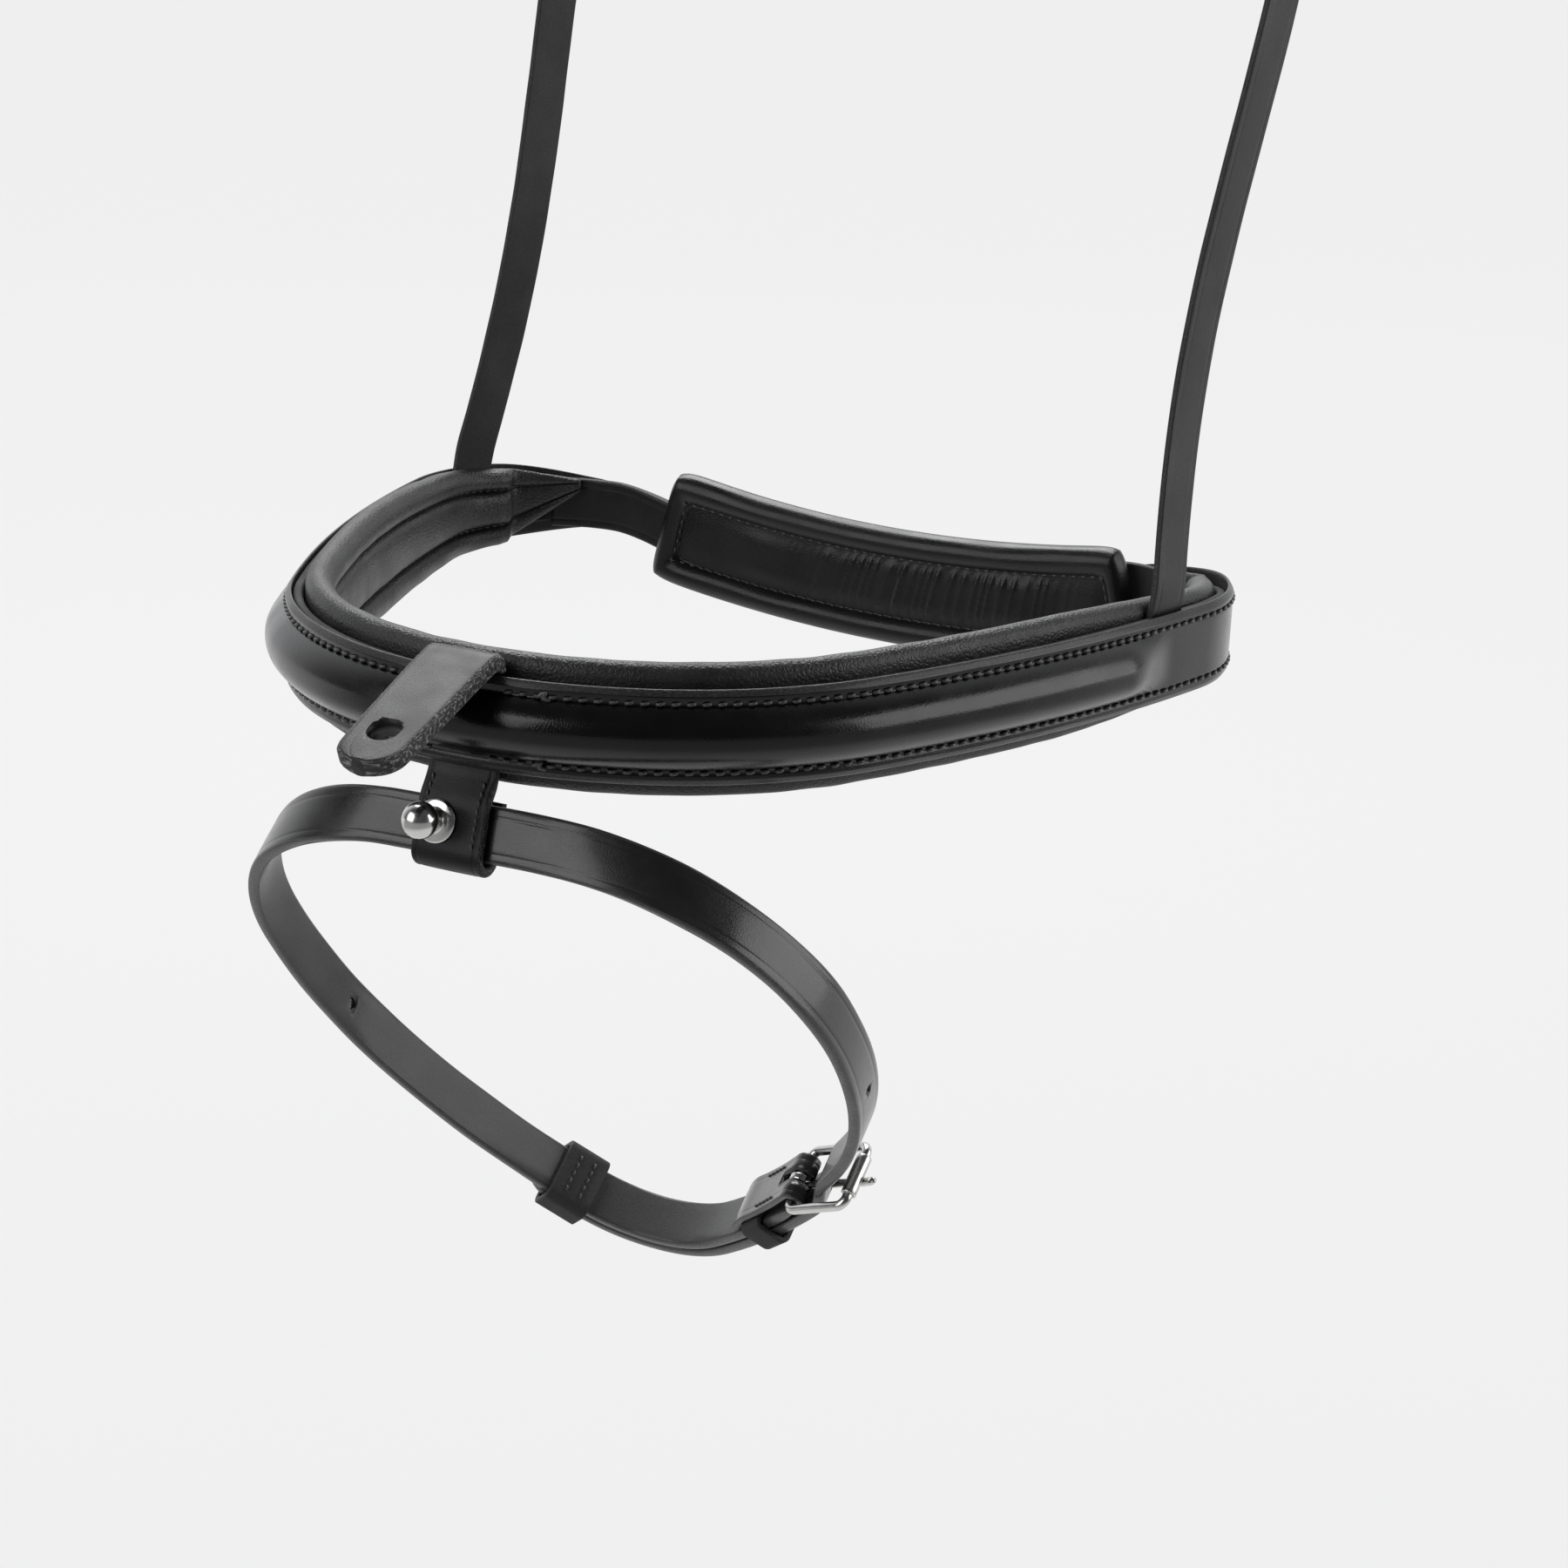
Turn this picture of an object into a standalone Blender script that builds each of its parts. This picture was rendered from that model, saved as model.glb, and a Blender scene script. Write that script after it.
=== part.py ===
"""Padded bridle noseband with a flash strap, as an assembly of leather and steel pieces.

The nose faces -Y, the horse's near side is +X and +Z is up.  Lengths are in millimetres
and become metres where a mesh is made.  A place on the noseband is (s, n, z): s along the
hoop from the middle of the nose towards the near side, n outwards and z up.
"""
import math

import bmesh
import bpy
import numpy as np

METRE = 0.001

# Driving dimensions, mm
NOSE_DEPTH = 84.0
FRONT_ARC, FRONT_TURN = 95.0, 63.4
SIDE_ARC, SIDE_TURN = 117.0, 16.2
CORNER_ARC = 68.0
SEAM_GAP = 0.3

LEATHER_HEIGHT, LEATHER_THICK = 22.0, 1.6
RAISE_HEIGHT = 4.6
MARGIN = 4.2
END_TAPER = 38.0
BACKING_THICK = 2.4
PADDING_HEIGHT, PADDING_THICK = 30.6, 7.2
RAISE_REACH = 196.0

STRAP_THICK = 3.0
FLASH_WIDTH = 13.0
CHIN_WIDTH = 14.0
HANGER_WIDTH = 13.0
NEAR_HANGER_PLACE, OFF_HANGER_PLACE = 194.0, 231.0
HANGER_LENGTH = 196.0
HANGER_LEAN = 12.0
HANGER_BOW = 5.0

WIRE_RADIUS = 1.25
ROLLER_RADIUS, ROLLER_LIFT = 1.9, 1.6
BUCKLE_LENGTH = 18.5
CHAPE_THICK = 1.6

PAD_LENGTH, PAD_HEIGHT, PAD_THICK = 140.0, 31.0, 8.0
PAD_CENTRE, PAD_SAG, PAD_TILT, PAD_SLANT = 11.0, 6.0, 1.4, 7.0
PAD_LOW = 2.4

TAB_LENGTH, TAB_WIDTH, TAB_THICK = 42.4, 18.5, 3.6
TAB_HOLE, TAB_HOLE_PLACE, TAB_DROP = 7.8, 31.2, 21.0
TAB_FOLD, TAB_RISE = 2.4, 11.5
TAB_SIDE, LOOP_SIDE = 1.2, 0.4
LOOP_WIDTH, LOOP_LENGTH, LOOP_LEAN = 18.0, 25.0, 16.0
STUD_BALL, STUD_BASE, STUD_NECK, STUD_REACH = 8.5, 10.2, 5.0, 6.9
STUD_DOWN, STUD_SIDE = 14.2, -3.2

# Worked out from the driving dimensions
BACK_FACE = -BACKING_THICK / 2
LEATHER_BACK = BACKING_THICK / 2 + SEAM_GAP
PADDING_FRONT = BACK_FACE - SEAM_GAP - 0.2
FLASH_TILT = math.radians(52.9)
FLASH_ROLL = math.radians(1.2)


def turn(angle_deg):
    """Degrees as radians."""
    return math.radians(angle_deg)


def unit(v):
    """A vector, or rows of vectors, at length one."""
    v = np.asarray(v, float)
    return v / np.linalg.norm(v, axis=-1, keepdims=True)


def smooth(x):
    """A soft step from 0 to 1 while x goes from 0 to 1."""
    x = np.clip(x, 0.0, 1.0)
    return x * x * (3 - 2 * x)


def eased(s, knots):
    """Values at s between (place, value) knots, joined by soft steps."""
    value = knots[0][1]
    for (s0, v0), (s1, v1) in zip(knots, knots[1:]):
        if s > s0:
            value = v0 + (v1 - v0) * smooth((s - s0) / (s1 - s0))
    return value


def spaced(a, b, step):
    """Evenly spaced values from a to b, no further apart than step."""
    return np.linspace(a, b, max(2, int(math.ceil(abs(b - a) / step)) + 1))


class Curve:
    """A flat curve of arcs and straights, each a length and a turn in degrees."""

    def __init__(self, start, pieces):
        self.pieces = pieces
        self.starts = [(0.0, start[0], start[1], 0.0)]
        for length, bend in pieces:
            s, x, y, h = self.starts[-1]
            x, y, h = self.step(x, y, h, length, turn(bend) / length)
            self.starts.append((s + length, x, y, h))
        self.length = self.starts[-1][0]

    @staticmethod
    def step(x, y, h, d, k):
        """The place and heading after d along a piece of curvature k."""
        if abs(k) < 1e-9:
            return x + d * math.cos(h), y + d * math.sin(h), h
        return (x + (math.sin(h + k * d) - math.sin(h)) / k,
                y - (math.cos(h + k * d) - math.cos(h)) / k, h + k * d)

    def at(self, s):
        """The place and heading at s."""
        i = 0
        while i < len(self.pieces) - 1 and s > self.starts[i + 1][0]:
            i += 1
        s0, x, y, h = self.starts[i]
        length, bend = self.pieces[i]
        return self.step(x, y, h, s - s0, turn(bend) / length)


CORNER_TURN = 180.0 - FRONT_TURN - SIDE_TURN
HALF_HOOP = Curve((0.0, -NOSE_DEPTH), [(FRONT_ARC, FRONT_TURN), (SIDE_ARC, SIDE_TURN),
                                       (CORNER_ARC, CORNER_TURN)])
BACK_HALF = HALF_HOOP.starts[-1][1]
BACK_Y = HALF_HOOP.starts[-1][2]
CORNER_END = HALF_HOOP.length
HALF_LENGTH = CORNER_END + BACK_HALF

# How far each layer of the nosepiece reaches from the middle of the nose
LEATHER_REACH = CORNER_END + 0.5
PADDING_REACH = CORNER_END - 13.5
BACKING_REACH = CORNER_END - 22.5


def hoop_frame(s):
    """Place, outward normal and travel direction of the noseband at s."""
    s = (s + HALF_LENGTH) % (2 * HALF_LENGTH) - HALF_LENGTH
    side, d = (1.0, s) if s >= 0 else (-1.0, -s)
    if d > CORNER_END:
        x, y, h = BACK_HALF - (d - CORNER_END), BACK_Y, math.pi
    else:
        x, y, h = HALF_HOOP.at(d)
    place = np.array([side * x, y, 0.0])
    normal = np.array([side * math.sin(h), -math.cos(h), 0.0])
    along = np.array([math.cos(h), side * math.sin(h), 0.0])
    return place, normal, along


def on_hoop(s, n, z=0.0):
    """A place on the noseband in space."""
    place, normal, _ = hoop_frame(s)
    return place + n * normal + np.array([0.0, 0.0, z])


# Materials
def material(name, colour, metallic, roughness):
    """A plain Principled material."""
    m = bpy.data.materials.get(name) or bpy.data.materials.new(name)
    m.use_nodes = True
    shader = m.node_tree.nodes["Principled BSDF"]
    shader.inputs["Base Color"].default_value = (*colour, 1.0)
    shader.inputs["Metallic"].default_value = metallic
    shader.inputs["Roughness"].default_value = roughness
    return m


def leather(name, grey=0.012, roughness=0.45):
    """Black leather for one piece."""
    return material(name, (grey, grey, grey), 0.0, roughness)


def steel(name):
    """Polished steel for one piece."""
    return material(name, (0.72, 0.71, 0.69), 1.0, 0.2)


# Mesh makers
def finish(name, bm, mat, smooth_shaded=True, origin=None):
    """Put a bmesh in the scene as one object with its origin where its joint is."""
    bm.normal_update()
    bmesh.ops.recalc_face_normals(bm, faces=bm.faces[:])
    mesh = bpy.data.meshes.new(name)
    origin = np.asarray(HANG_POINT if origin is None else origin, float)
    for v in bm.verts:
        v.co = [(c - o) * METRE for c, o in zip(v.co, origin)]
    bm.to_mesh(mesh)
    bm.free()
    for poly in mesh.polygons:
        poly.use_smooth = smooth_shaded
    ob = bpy.data.objects.new(name, mesh)
    ob.location = [(c - h) * METRE for c, h in zip(origin, HANG_POINT)]
    mesh.materials.append(mat)
    bpy.context.scene.collection.objects.link(ob)
    return ob


def tube_mesh(rings, closed=False):
    """A bmesh of rings of points joined in turn, capped unless it closes on itself."""
    bm = bmesh.new()
    rows = [[bm.verts.new(p) for p in ring] for ring in rings]
    count = len(rows[0])
    pairs = list(zip(rows, rows[1:])) + ([(rows[-1], rows[0])] if closed else [])
    for a, b in pairs:
        for i in range(count):
            j = (i + 1) % count
            bm.faces.new((a[i], a[j], b[j], b[i]))
    if not closed:
        bm.faces.new(rows[0])
        bm.faces.new(rows[-1][::-1])
    return bm


BEVEL_SHARE = 0.22


def ribbon_rings(centres, sides, width, thick, closed=False):
    """Sections of a strap: a rectangle with bevelled edges, square to the path."""
    centres = np.asarray(centres, float)
    if closed:
        along = unit(np.roll(centres, -1, 0) - np.roll(centres, 1, 0))
    else:
        along = unit(np.gradient(centres, axis=0))
    sides = np.broadcast_to(unit(sides), centres.shape)
    faces = unit(np.cross(along, sides))
    sides = unit(np.cross(faces, along))
    width = np.broadcast_to(width, len(centres))[:, None]
    thick = np.broadcast_to(thick, len(centres))[:, None]
    bevel = thick * BEVEL_SHARE
    corners = []
    for a, b in ((1, 1), (-1, 1), (-1, -1), (1, -1)):
        wide = centres + sides * a * width / 2 + faces * b * (thick / 2 - bevel)
        tall = centres + sides * a * (width / 2 - bevel) + faces * b * thick / 2
        corners += [wide, tall] if a * b > 0 else [tall, wide]
    return np.stack(corners, axis=1)


def ribbon(name, mat, centres, sides, width, thick, closed=False, origin=None):
    """A strap along a path."""
    rings = ribbon_rings(centres, sides, width, thick, closed)
    return finish(name, tube_mesh(rings, closed), mat, False, origin)


def cut(ob, cutter):
    """Take a cutter's shape out of an object for good."""
    cutter.hide_render = True
    cutter.display_type = "WIRE"
    mod = ob.modifiers.new("cut", "BOOLEAN")
    mod.operation = "DIFFERENCE"
    mod.solver = "EXACT"
    mod.object = cutter
    bpy.context.view_layer.update()
    depsgraph = bpy.context.evaluated_depsgraph_get()
    mesh = bpy.data.meshes.new_from_object(ob.evaluated_get(depsgraph))
    ob.modifiers.clear()
    ob.data = mesh
    bpy.data.objects.remove(cutter)


def box_at(name, centre, axes, sizes):
    """A box for cutting, with its own axes."""
    axes = np.asarray(axes, float)
    bm = bmesh.new()
    bmesh.ops.create_cube(bm, size=1.0)
    for v in bm.verts:
        v.co = np.asarray(centre) + (np.array(v.co) * sizes) @ axes
    return finish(name, bm, leather("cutter"), False)


def rod_at(name, centre, axis, radius, length, segments=20):
    """A round bar for cutting."""
    axis = unit(axis)
    side = unit(np.cross(axis, [1.0, 0.3, 0.2]))
    up = np.cross(axis, side)
    ring = [side * math.cos(a) + up * math.sin(a)
            for a in np.linspace(0, 2 * math.pi, segments, endpoint=False)]
    rings = [[centre + axis * d + r * radius for r in ring] for d in (-length / 2, length / 2)]
    return finish(name, tube_mesh(rings), leather("cutter"), True)


def turned(name, mat, centre, axis, outline, segments=16, origin=None):
    """A turned piece: (distance along the axis, radius) outline, both ends on the axis."""
    axis = unit(axis)
    side = unit(np.cross(axis, [1.0, 0.0, 0.0]))
    up = np.cross(axis, side)
    bm = bmesh.new()
    first = bm.verts.new(centre + axis * outline[0][0])
    last = bm.verts.new(centre + axis * outline[-1][0])
    rows = []
    for d, r in outline[1:-1]:
        rows.append([bm.verts.new(centre + axis * d + r * (side * math.cos(a) + up * math.sin(a)))
                     for a in np.linspace(0, 2 * math.pi, segments, endpoint=False)])
    for i in range(segments):
        j = (i + 1) % segments
        bm.faces.new((first, rows[0][i], rows[0][j]))
        for a, b in zip(rows, rows[1:]):
            bm.faces.new((a[i], a[j], b[j], b[i]))
        bm.faces.new((rows[-1][i], rows[-1][j], last))
    return finish(name, bm, mat, True, origin)


# Noseband
def leather_half_height(s):
    """Half the height of the outer leather: strap width at its ends."""
    taper = smooth((abs(s) - LEATHER_REACH) / END_TAPER + 1.0)
    return (LEATHER_HEIGHT + (CHIN_WIDTH + 1.0 - LEATHER_HEIGHT) * taper) / 2


def raise_at(s):
    """How much of the raised centre there is at s."""
    return 1.0 - smooth((abs(s) - (RAISE_REACH - 22.0)) / 22.0)


DOME_SHARES = np.cos(np.linspace(0, math.pi, 9))


def dome(share):
    """The raised centre's height across its width, as a share."""
    return np.clip(1 - np.abs(share) ** 2.2, 0, 1) ** 0.72


def nosepiece_leather():
    """The outer leather: flat margins and a raised centre, open behind."""
    rings = []
    for s in spaced(-LEATHER_REACH, LEATHER_REACH, 8.4):
        half = leather_half_height(s)
        zs = np.concatenate([[half], (half - MARGIN) * DOME_SHARES, [-half]])
        lift = np.concatenate([[0], dome(DOME_SHARES), [0]]) * RAISE_HEIGHT * raise_at(s)
        outer = [on_hoop(s, LEATHER_BACK + LEATHER_THICK + h, z) for h, z in zip(lift, zs)]
        inner = [on_hoop(s, LEATHER_BACK + h, z) for h, z in zip(lift, zs)]
        rings.append(outer + inner[::-1])
    return finish("nosepiece_leather", tube_mesh(rings), leather("outer_leather", 0.01, 0.25))


def nosepiece_filler():
    """The firm core that holds the raised centre up."""
    rings = []
    reach = RAISE_REACH - 13.0
    for s in spaced(-reach, reach, 9.0):
        half = leather_half_height(s) - MARGIN - 1.2
        top = np.maximum(dome(DOME_SHARES[1:-1]) * RAISE_HEIGHT * raise_at(s) - 0.55, 0.12)
        zs = half * DOME_SHARES[1:-1]
        outer = [on_hoop(s, LEATHER_BACK + h, z) for h, z in zip(top, zs)]
        inner = [on_hoop(s, LEATHER_BACK, z) for z in (zs[-1], zs[0])]
        rings.append(outer + inner)
    return finish("nosepiece_filler", tube_mesh(rings), leather("filler", 0.03, 0.8))


ROOT_WIDTH, ROOT_HEIGHT = 18.0, 7.0
TAB_AXIS = np.array([TAB_SIDE, -NOSE_DEPTH - TAB_FOLD, TAB_RISE])
LOOP_AXIS = np.array([LOOP_SIDE, -NOSE_DEPTH + 0.4, -10.6])
LOOP_THICK = 2.2
FOOT_DEPTH = 5.0


def hoop_block(name, mat, s_mid, width, z_low, z_high, thick, step=5.0):
    """A flat block of leather that follows the hoop."""
    rings = []
    for s in spaced(s_mid - width / 2, s_mid + width / 2, step):
        rings.append([on_hoop(s, n, z) for n, z in ((-thick / 2, z_low), (thick / 2, z_low),
                                                    (thick / 2, z_high), (-thick / 2, z_high))])
    return finish(name, tube_mesh(rings), mat, False)


def nosepiece_backing():
    """The strap that everything is stitched to, with pockets for what is let into it."""
    half = LEATHER_HEIGHT / 2 - 0.6
    mat = leather("backing", 0.02, 0.7)
    ob = hoop_block("nosepiece_backing", mat, 0.0, 2 * BACKING_REACH, -half, half, BACKING_THICK, 8.5)
    deep = BACKING_THICK * 3
    clear = SEAM_GAP
    top, low = TAB_AXIS[2] - 1.7, LOOP_AXIS[2] + LOOP_THICK / 2 + clear
    cut(ob, hoop_block("cut", mat, TAB_SIDE, ROOT_WIDTH + 2 * clear, top - ROOT_HEIGHT - clear,
                       half * 2, deep, 5.0))
    cut(ob, hoop_block("cut", mat, LOOP_SIDE, ROOT_WIDTH + 2 * clear, -half * 2,
                       low + ROOT_HEIGHT + clear, deep, 5.0))
    for side in (-1, 1):
        place, normal, along, up = hanger_frame(side)
        tall = LEATHER_HEIGHT + FOOT_DEPTH
        cut(ob, box_at("cut", place + up * (tall / 2 - FOOT_DEPTH), [along, normal, up],
                       [HANGER_WIDTH + 2 * clear + 0.2, deep, tall]))
    return ob


def roots():
    """The two stitched-in roots that the flash tab and the flash loop grow from."""
    top = TAB_AXIS[2] - 1.7
    hoop_block("flash_tab_root", leather("tab_root"), TAB_SIDE, ROOT_WIDTH, top - ROOT_HEIGHT, top,
               BACKING_THICK - 0.2, 5.0)
    low = LOOP_AXIS[2] + LOOP_THICK / 2 + SEAM_GAP
    hoop_block("flash_loop_root", leather("loop_root"), LOOP_SIDE, ROOT_WIDTH, low, low + ROOT_HEIGHT,
               BACKING_THICK - 0.2, 5.0)


# Across the padding: (n share of its thickness, z share of half its height), top to middle
PADDING_OUTLINE = [(0.0, 0.62), (0.0, 0.80), (0.16, 0.94), (0.46, 1.0), (0.78, 0.93),
                   (0.94, 0.76), (0.90, 0.58), (0.66, 0.46), (0.88, 0.33), (0.99, 0.15)]


PADDING_NARROWS = 176.0
PADDING_END_HEIGHT = 19.5


def padding_scale(s):
    """Height and thickness of the padding at s, as shares: a rounded tip at each end."""
    left = (PADDING_REACH - abs(s)) / 22.0
    tip = math.sqrt(max(1 - (1 - min(left, 1.0)) ** 2, 0.0))
    narrow = smooth((abs(s) - PADDING_NARROWS) / (PADDING_REACH - PADDING_NARROWS - 12.0))
    height = 1.0 + (PADDING_END_HEIGHT / PADDING_HEIGHT - 1.0) * narrow
    return height * (0.4 + 0.6 * tip), 0.45 + 0.55 * tip


def nosepiece_padding():
    """The soft lining: a roll at each edge and two stitched channels on the inner face."""
    rings = []
    upper = np.array(PADDING_OUTLINE)
    lower = upper[::-1] * [1, -1]
    outline = np.vstack([upper, lower])
    for s in spaced(-PADDING_REACH, PADDING_REACH, 8.6):
        tall, deep = padding_scale(s)
        rings.append([on_hoop(s, PADDING_FRONT - a * deep * PADDING_THICK,
                              b * tall * PADDING_HEIGHT / 2) for a, b in outline])
    return finish("nosepiece_padding", tube_mesh(rings), leather("padding", 0.02, 0.6))


# Buckles.  A buckle's own axes: X the way the strap end travels, Y out of the strap, Z across.
BASE_N = -2.3
END_N = STRAP_THICK / 2 + SEAM_GAP + ROLLER_RADIUS + ROLLER_LIFT
PRONG_THICK, PRONG_WIDTH = 1.4, 2.2
PRONG_REST = 0.65
PRONG_WRAP = WIRE_RADIUS + 0.12 + PRONG_THICK / 2
FOLD_RADIUS = WIRE_RADIUS + 0.3 + CHAPE_THICK / 2


class Seat:
    """Where a buckle or keeper sits: an origin and three directions."""

    def __init__(self, origin, x, y, z):
        self.origin = np.asarray(origin, float)
        self.axes = np.array([unit(x), unit(y), unit(z)])

    def put(self, x, y, z=0.0):
        """A place in the seat's own axes, in space."""
        return self.origin + np.array([x, y, z], float) @ self.axes

    def way(self, x, y, z=0.0):
        """A direction in the seat's own axes, in space."""
        return np.array([x, y, z], float) @ self.axes


def wire_rectangle(name, mat, seat, low, high, half, radius, origin, sides=8):
    """A closed wire frame between two bars across a strap, with round corners."""
    low, high = np.array(low), np.array(high)
    run = np.linalg.norm(high - low)
    ahead = (high - low) / run
    bend = radius * 1.9
    corner = [math.radians(a) for a in (0, 30, 60, 90)]
    flat = []
    for cx, cz, start in ((run - bend, half - bend, 0), (bend, half - bend, 90),
                          (bend, -half + bend, 180), (run - bend, -half + bend, 270)):
        flat += [(cx + bend * math.cos(c + math.radians(start)),
                  cz + bend * math.sin(c + math.radians(start))) for c in corner]
    centres = np.array([seat.put(*(low + ahead * a), b) for a, b in flat])
    along = unit(np.roll(centres, -1, 0) - np.roll(centres, 1, 0))
    face = unit(seat.way(-ahead[1], ahead[0]))
    across = np.cross(along, face)
    turns = np.linspace(0, 2 * math.pi, sides, endpoint=False) + math.pi / sides
    rings = [[c + radius * (a * math.cos(t) + face * math.sin(t)) for t in turns]
             for c, a in zip(centres, across)]
    return finish(name, tube_mesh(rings, True), mat, True, origin)


def roller(name, mat, centre, axis, length, origin):
    """A short tube that turns on a bar."""
    segments = 16
    axis = unit(axis)
    side = unit(np.cross(axis, [0.3, 1.0, 0.2]))
    up = np.cross(axis, side)
    hole = (WIRE_RADIUS + 0.06) / math.cos(math.pi / segments)
    rings = []
    for d, r in ((-0.5, hole), (-0.5, ROLLER_RADIUS), (0.5, ROLLER_RADIUS), (0.5, hole)):
        rings.append([centre + axis * d * length + r * (side * math.cos(a) + up * math.sin(a))
                      for a in np.linspace(0, 2 * math.pi, segments, endpoint=False)])
    return finish(name, tube_mesh(rings, True), mat, True, origin)


def prong_path():
    """The prong's middle line in the buckle's X, Y: round the base bar, then to the roller."""
    base = np.array([0.0, BASE_N])
    rest = np.array([-BUCKLE_LENGTH, END_N + ROLLER_RADIUS + PRONG_REST + PRONG_THICK / 2])
    gap = rest - base
    leave = math.atan2(gap[1], gap[0]) - math.acos(PRONG_WRAP / np.linalg.norm(gap))
    arc = [base + PRONG_WRAP * np.array([math.cos(a), math.sin(a)])
           for a in np.linspace(leave - turn(255), leave, 11)]
    ahead = unit(rest - arc[-1])
    tip = rest + ahead * 3.4 - np.array([0.0, 0.4])
    return arc + [arc[-1] + (rest - arc[-1]) * 0.5, rest, tip], arc[-1], ahead


def buckle(prefix, seat, strap_width):
    """A roller buckle: wire frame, roller and prong.  Returns nothing."""
    half = strap_width / 2 + 0.9 + WIRE_RADIUS
    base = seat.put(0, BASE_N)
    end = seat.put(-BUCKLE_LENGTH, END_N)
    wire_rectangle(prefix + "_frame", steel(prefix + "_frame"), seat, (0, BASE_N),
                   (-BUCKLE_LENGTH, END_N), half, WIRE_RADIUS, base)
    roller(prefix + "_roller", steel(prefix + "_roller"), end, seat.axes[2],
           strap_width - 2.0, end)
    path, _, _ = prong_path()
    ribbon(prefix + "_prong", steel(prefix + "_prong"), [seat.put(*p) for p in path],
           seat.axes[2], PRONG_WIDTH, PRONG_THICK, origin=base)


def fold_path(back_length, lie):
    """The folded end of a chape in X, Y: turned-back end, round the bar, out on top."""
    base = np.array([0.0, BASE_N])
    under = -(STRAP_THICK / 2 + SEAM_GAP + CHAPE_THICK / 2) if lie is None else lie
    back = [(x, eased(x, [(2.0, BASE_N - FOLD_RADIUS), (9.0, under)]))
            for x in (back_length, back_length * 0.75, 12.0, 9.0, 6.5, 4.0, 1.5)]
    arc = [tuple(base + FOLD_RADIUS * np.array([math.cos(a), math.sin(a)]))
           for a in np.linspace(turn(270), turn(90), 7)]
    return back + arc


def prong_slot(ob, seat):
    """Cut the slot that a prong needs in a fold."""
    cut(ob, box_at("cut", seat.put(0.6, BASE_N), seat.axes,
                   [9.6, 2 * FOLD_RADIUS + CHAPE_THICK + 2.0, PRONG_WIDTH + 1.0]))


def prong_hole(ob, seat):
    """Cut the hole that the prong goes through in a strap end."""
    _, start, ahead = prong_path()
    middle = start + ahead * BUCKLE_LENGTH * 0.4
    axes = [seat.way(*ahead), seat.way(-ahead[1], ahead[0]), seat.axes[2]]
    cut(ob, box_at("cut", seat.put(*middle), axes, [BUCKLE_LENGTH * 0.8, PRONG_THICK + 1.3, PRONG_WIDTH + 0.9]))


ROLLER_PAST = 2.5 - BUCKLE_LENGTH


def weave(x):
    """Height of a strap end through a buckle: under the roller, over the folded chape."""
    return eased(x, [(ROLLER_PAST, 0.0), (-1.0, CHAPE_THICK / 2 + SEAM_GAP + STRAP_THICK / 2 + 1.0),
                     (12.0, STRAP_THICK + 0.45)])


def keeper(name, mat, seat, low, high, strap_width, width, origin=None, slack=0.35, thick=1.6):
    """A closed leather loop round a stack of straps from low to high."""
    bend = thick * 0.9
    a, b = low - slack - thick / 2, high + slack + thick / 2
    half = strap_width / 2 + slack + thick / 2
    flat = []
    for cy, cz, start in ((b - bend, half - bend, 0), (a + bend, half - bend, 90),
                          (a + bend, -half + bend, 180), (b - bend, -half + bend, 270)):
        flat += [(cy + bend * math.cos(turn(start + t)), cz + bend * math.sin(turn(start + t)))
                 for t in (0, 45, 90)]
    centres = [seat.put(0, y, z) for y, z in flat]
    return ribbon(name, mat, centres, seat.axes[0], width, thick, True, origin)


# Hangers
def hanger_frame(side):
    """Foot, outward normal, across and up directions of a hanger strap."""
    place, normal, along = hoop_frame(NEAR_HANGER_PLACE if side > 0 else -OFF_HANGER_PLACE)
    place = place - normal * FOOT_INSET
    back = along * side
    lean = turn(HANGER_LEAN)
    up = np.array([0, 0, 1.0]) * math.cos(lean) + back * math.sin(lean)
    across = np.cross(up, normal)
    return place, normal, unit(across), unit(up)


FOOT_INSET = 0.5


def hanger_seat(side):
    """The seat of a hanger's buckle: its strap travels down, its outer face outwards."""
    place, normal, across, up = hanger_frame(side)
    return Seat(place + up * HANGER_LENGTH, -up, normal, across)


# Everything hangs from the point midway between the bars of the two hanger buckles
HANG_POINT = (hanger_seat(1).put(-BUCKLE_LENGTH, END_N) + hanger_seat(-1).put(-BUCKLE_LENGTH, END_N)) / 2


FREE_FROM, CLOSED_TO = 17.0, 34.0
FOOT_THICK = 1.7


def bow_share(share):
    """Where a hanger is along its bow, from the buckle: fullest nearer the noseband."""
    return max(min(share, 1.0), 0.0) ** 1.3


def hanger(side):
    """A hanger strap from its foot in the noseband up to a buckle, with its keeper."""
    prefix = "near_hanger" if side > 0 else "off_hanger"
    seat = hanger_seat(side)
    across = seat.axes[2]
    path = fold_path(30.0, None)
    free = HANGER_LENGTH - FREE_FROM
    places = [3.0, 6.0, 9.0, 12.0] + list(spaced(CLOSED_TO, free, 12.0))
    places += [HANGER_LENGTH + FOOT_DEPTH - SEAM_GAP - 1.0]
    tail = [(x, -HANGER_BOW * math.sin(math.pi * bow_share((x - CLOSED_TO) / (free - CLOSED_TO))))
            for x in places]
    thick = [CHAPE_THICK] * (len(path) + 1)
    thick += [eased(x, [(3.0, CHAPE_THICK), (12.0, FOOT_THICK)]) for x, _ in tail[1:]]
    ob = ribbon(prefix + "_strap", leather(prefix), [seat.put(*p) for p in path + tail], across,
                HANGER_WIDTH, thick)
    prong_slot(ob, seat)
    buckle(prefix + "_buckle", seat, HANGER_WIDTH)
    keep = Seat(seat.put(20.0, 0.0), *seat.axes)
    under = -(STRAP_THICK / 2 + SEAM_GAP + CHAPE_THICK)
    keeper(prefix + "_keeper", leather(prefix + "_keeper"), keep, under, STRAP_THICK + 2.0,
           HANGER_WIDTH, 9.0)


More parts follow.
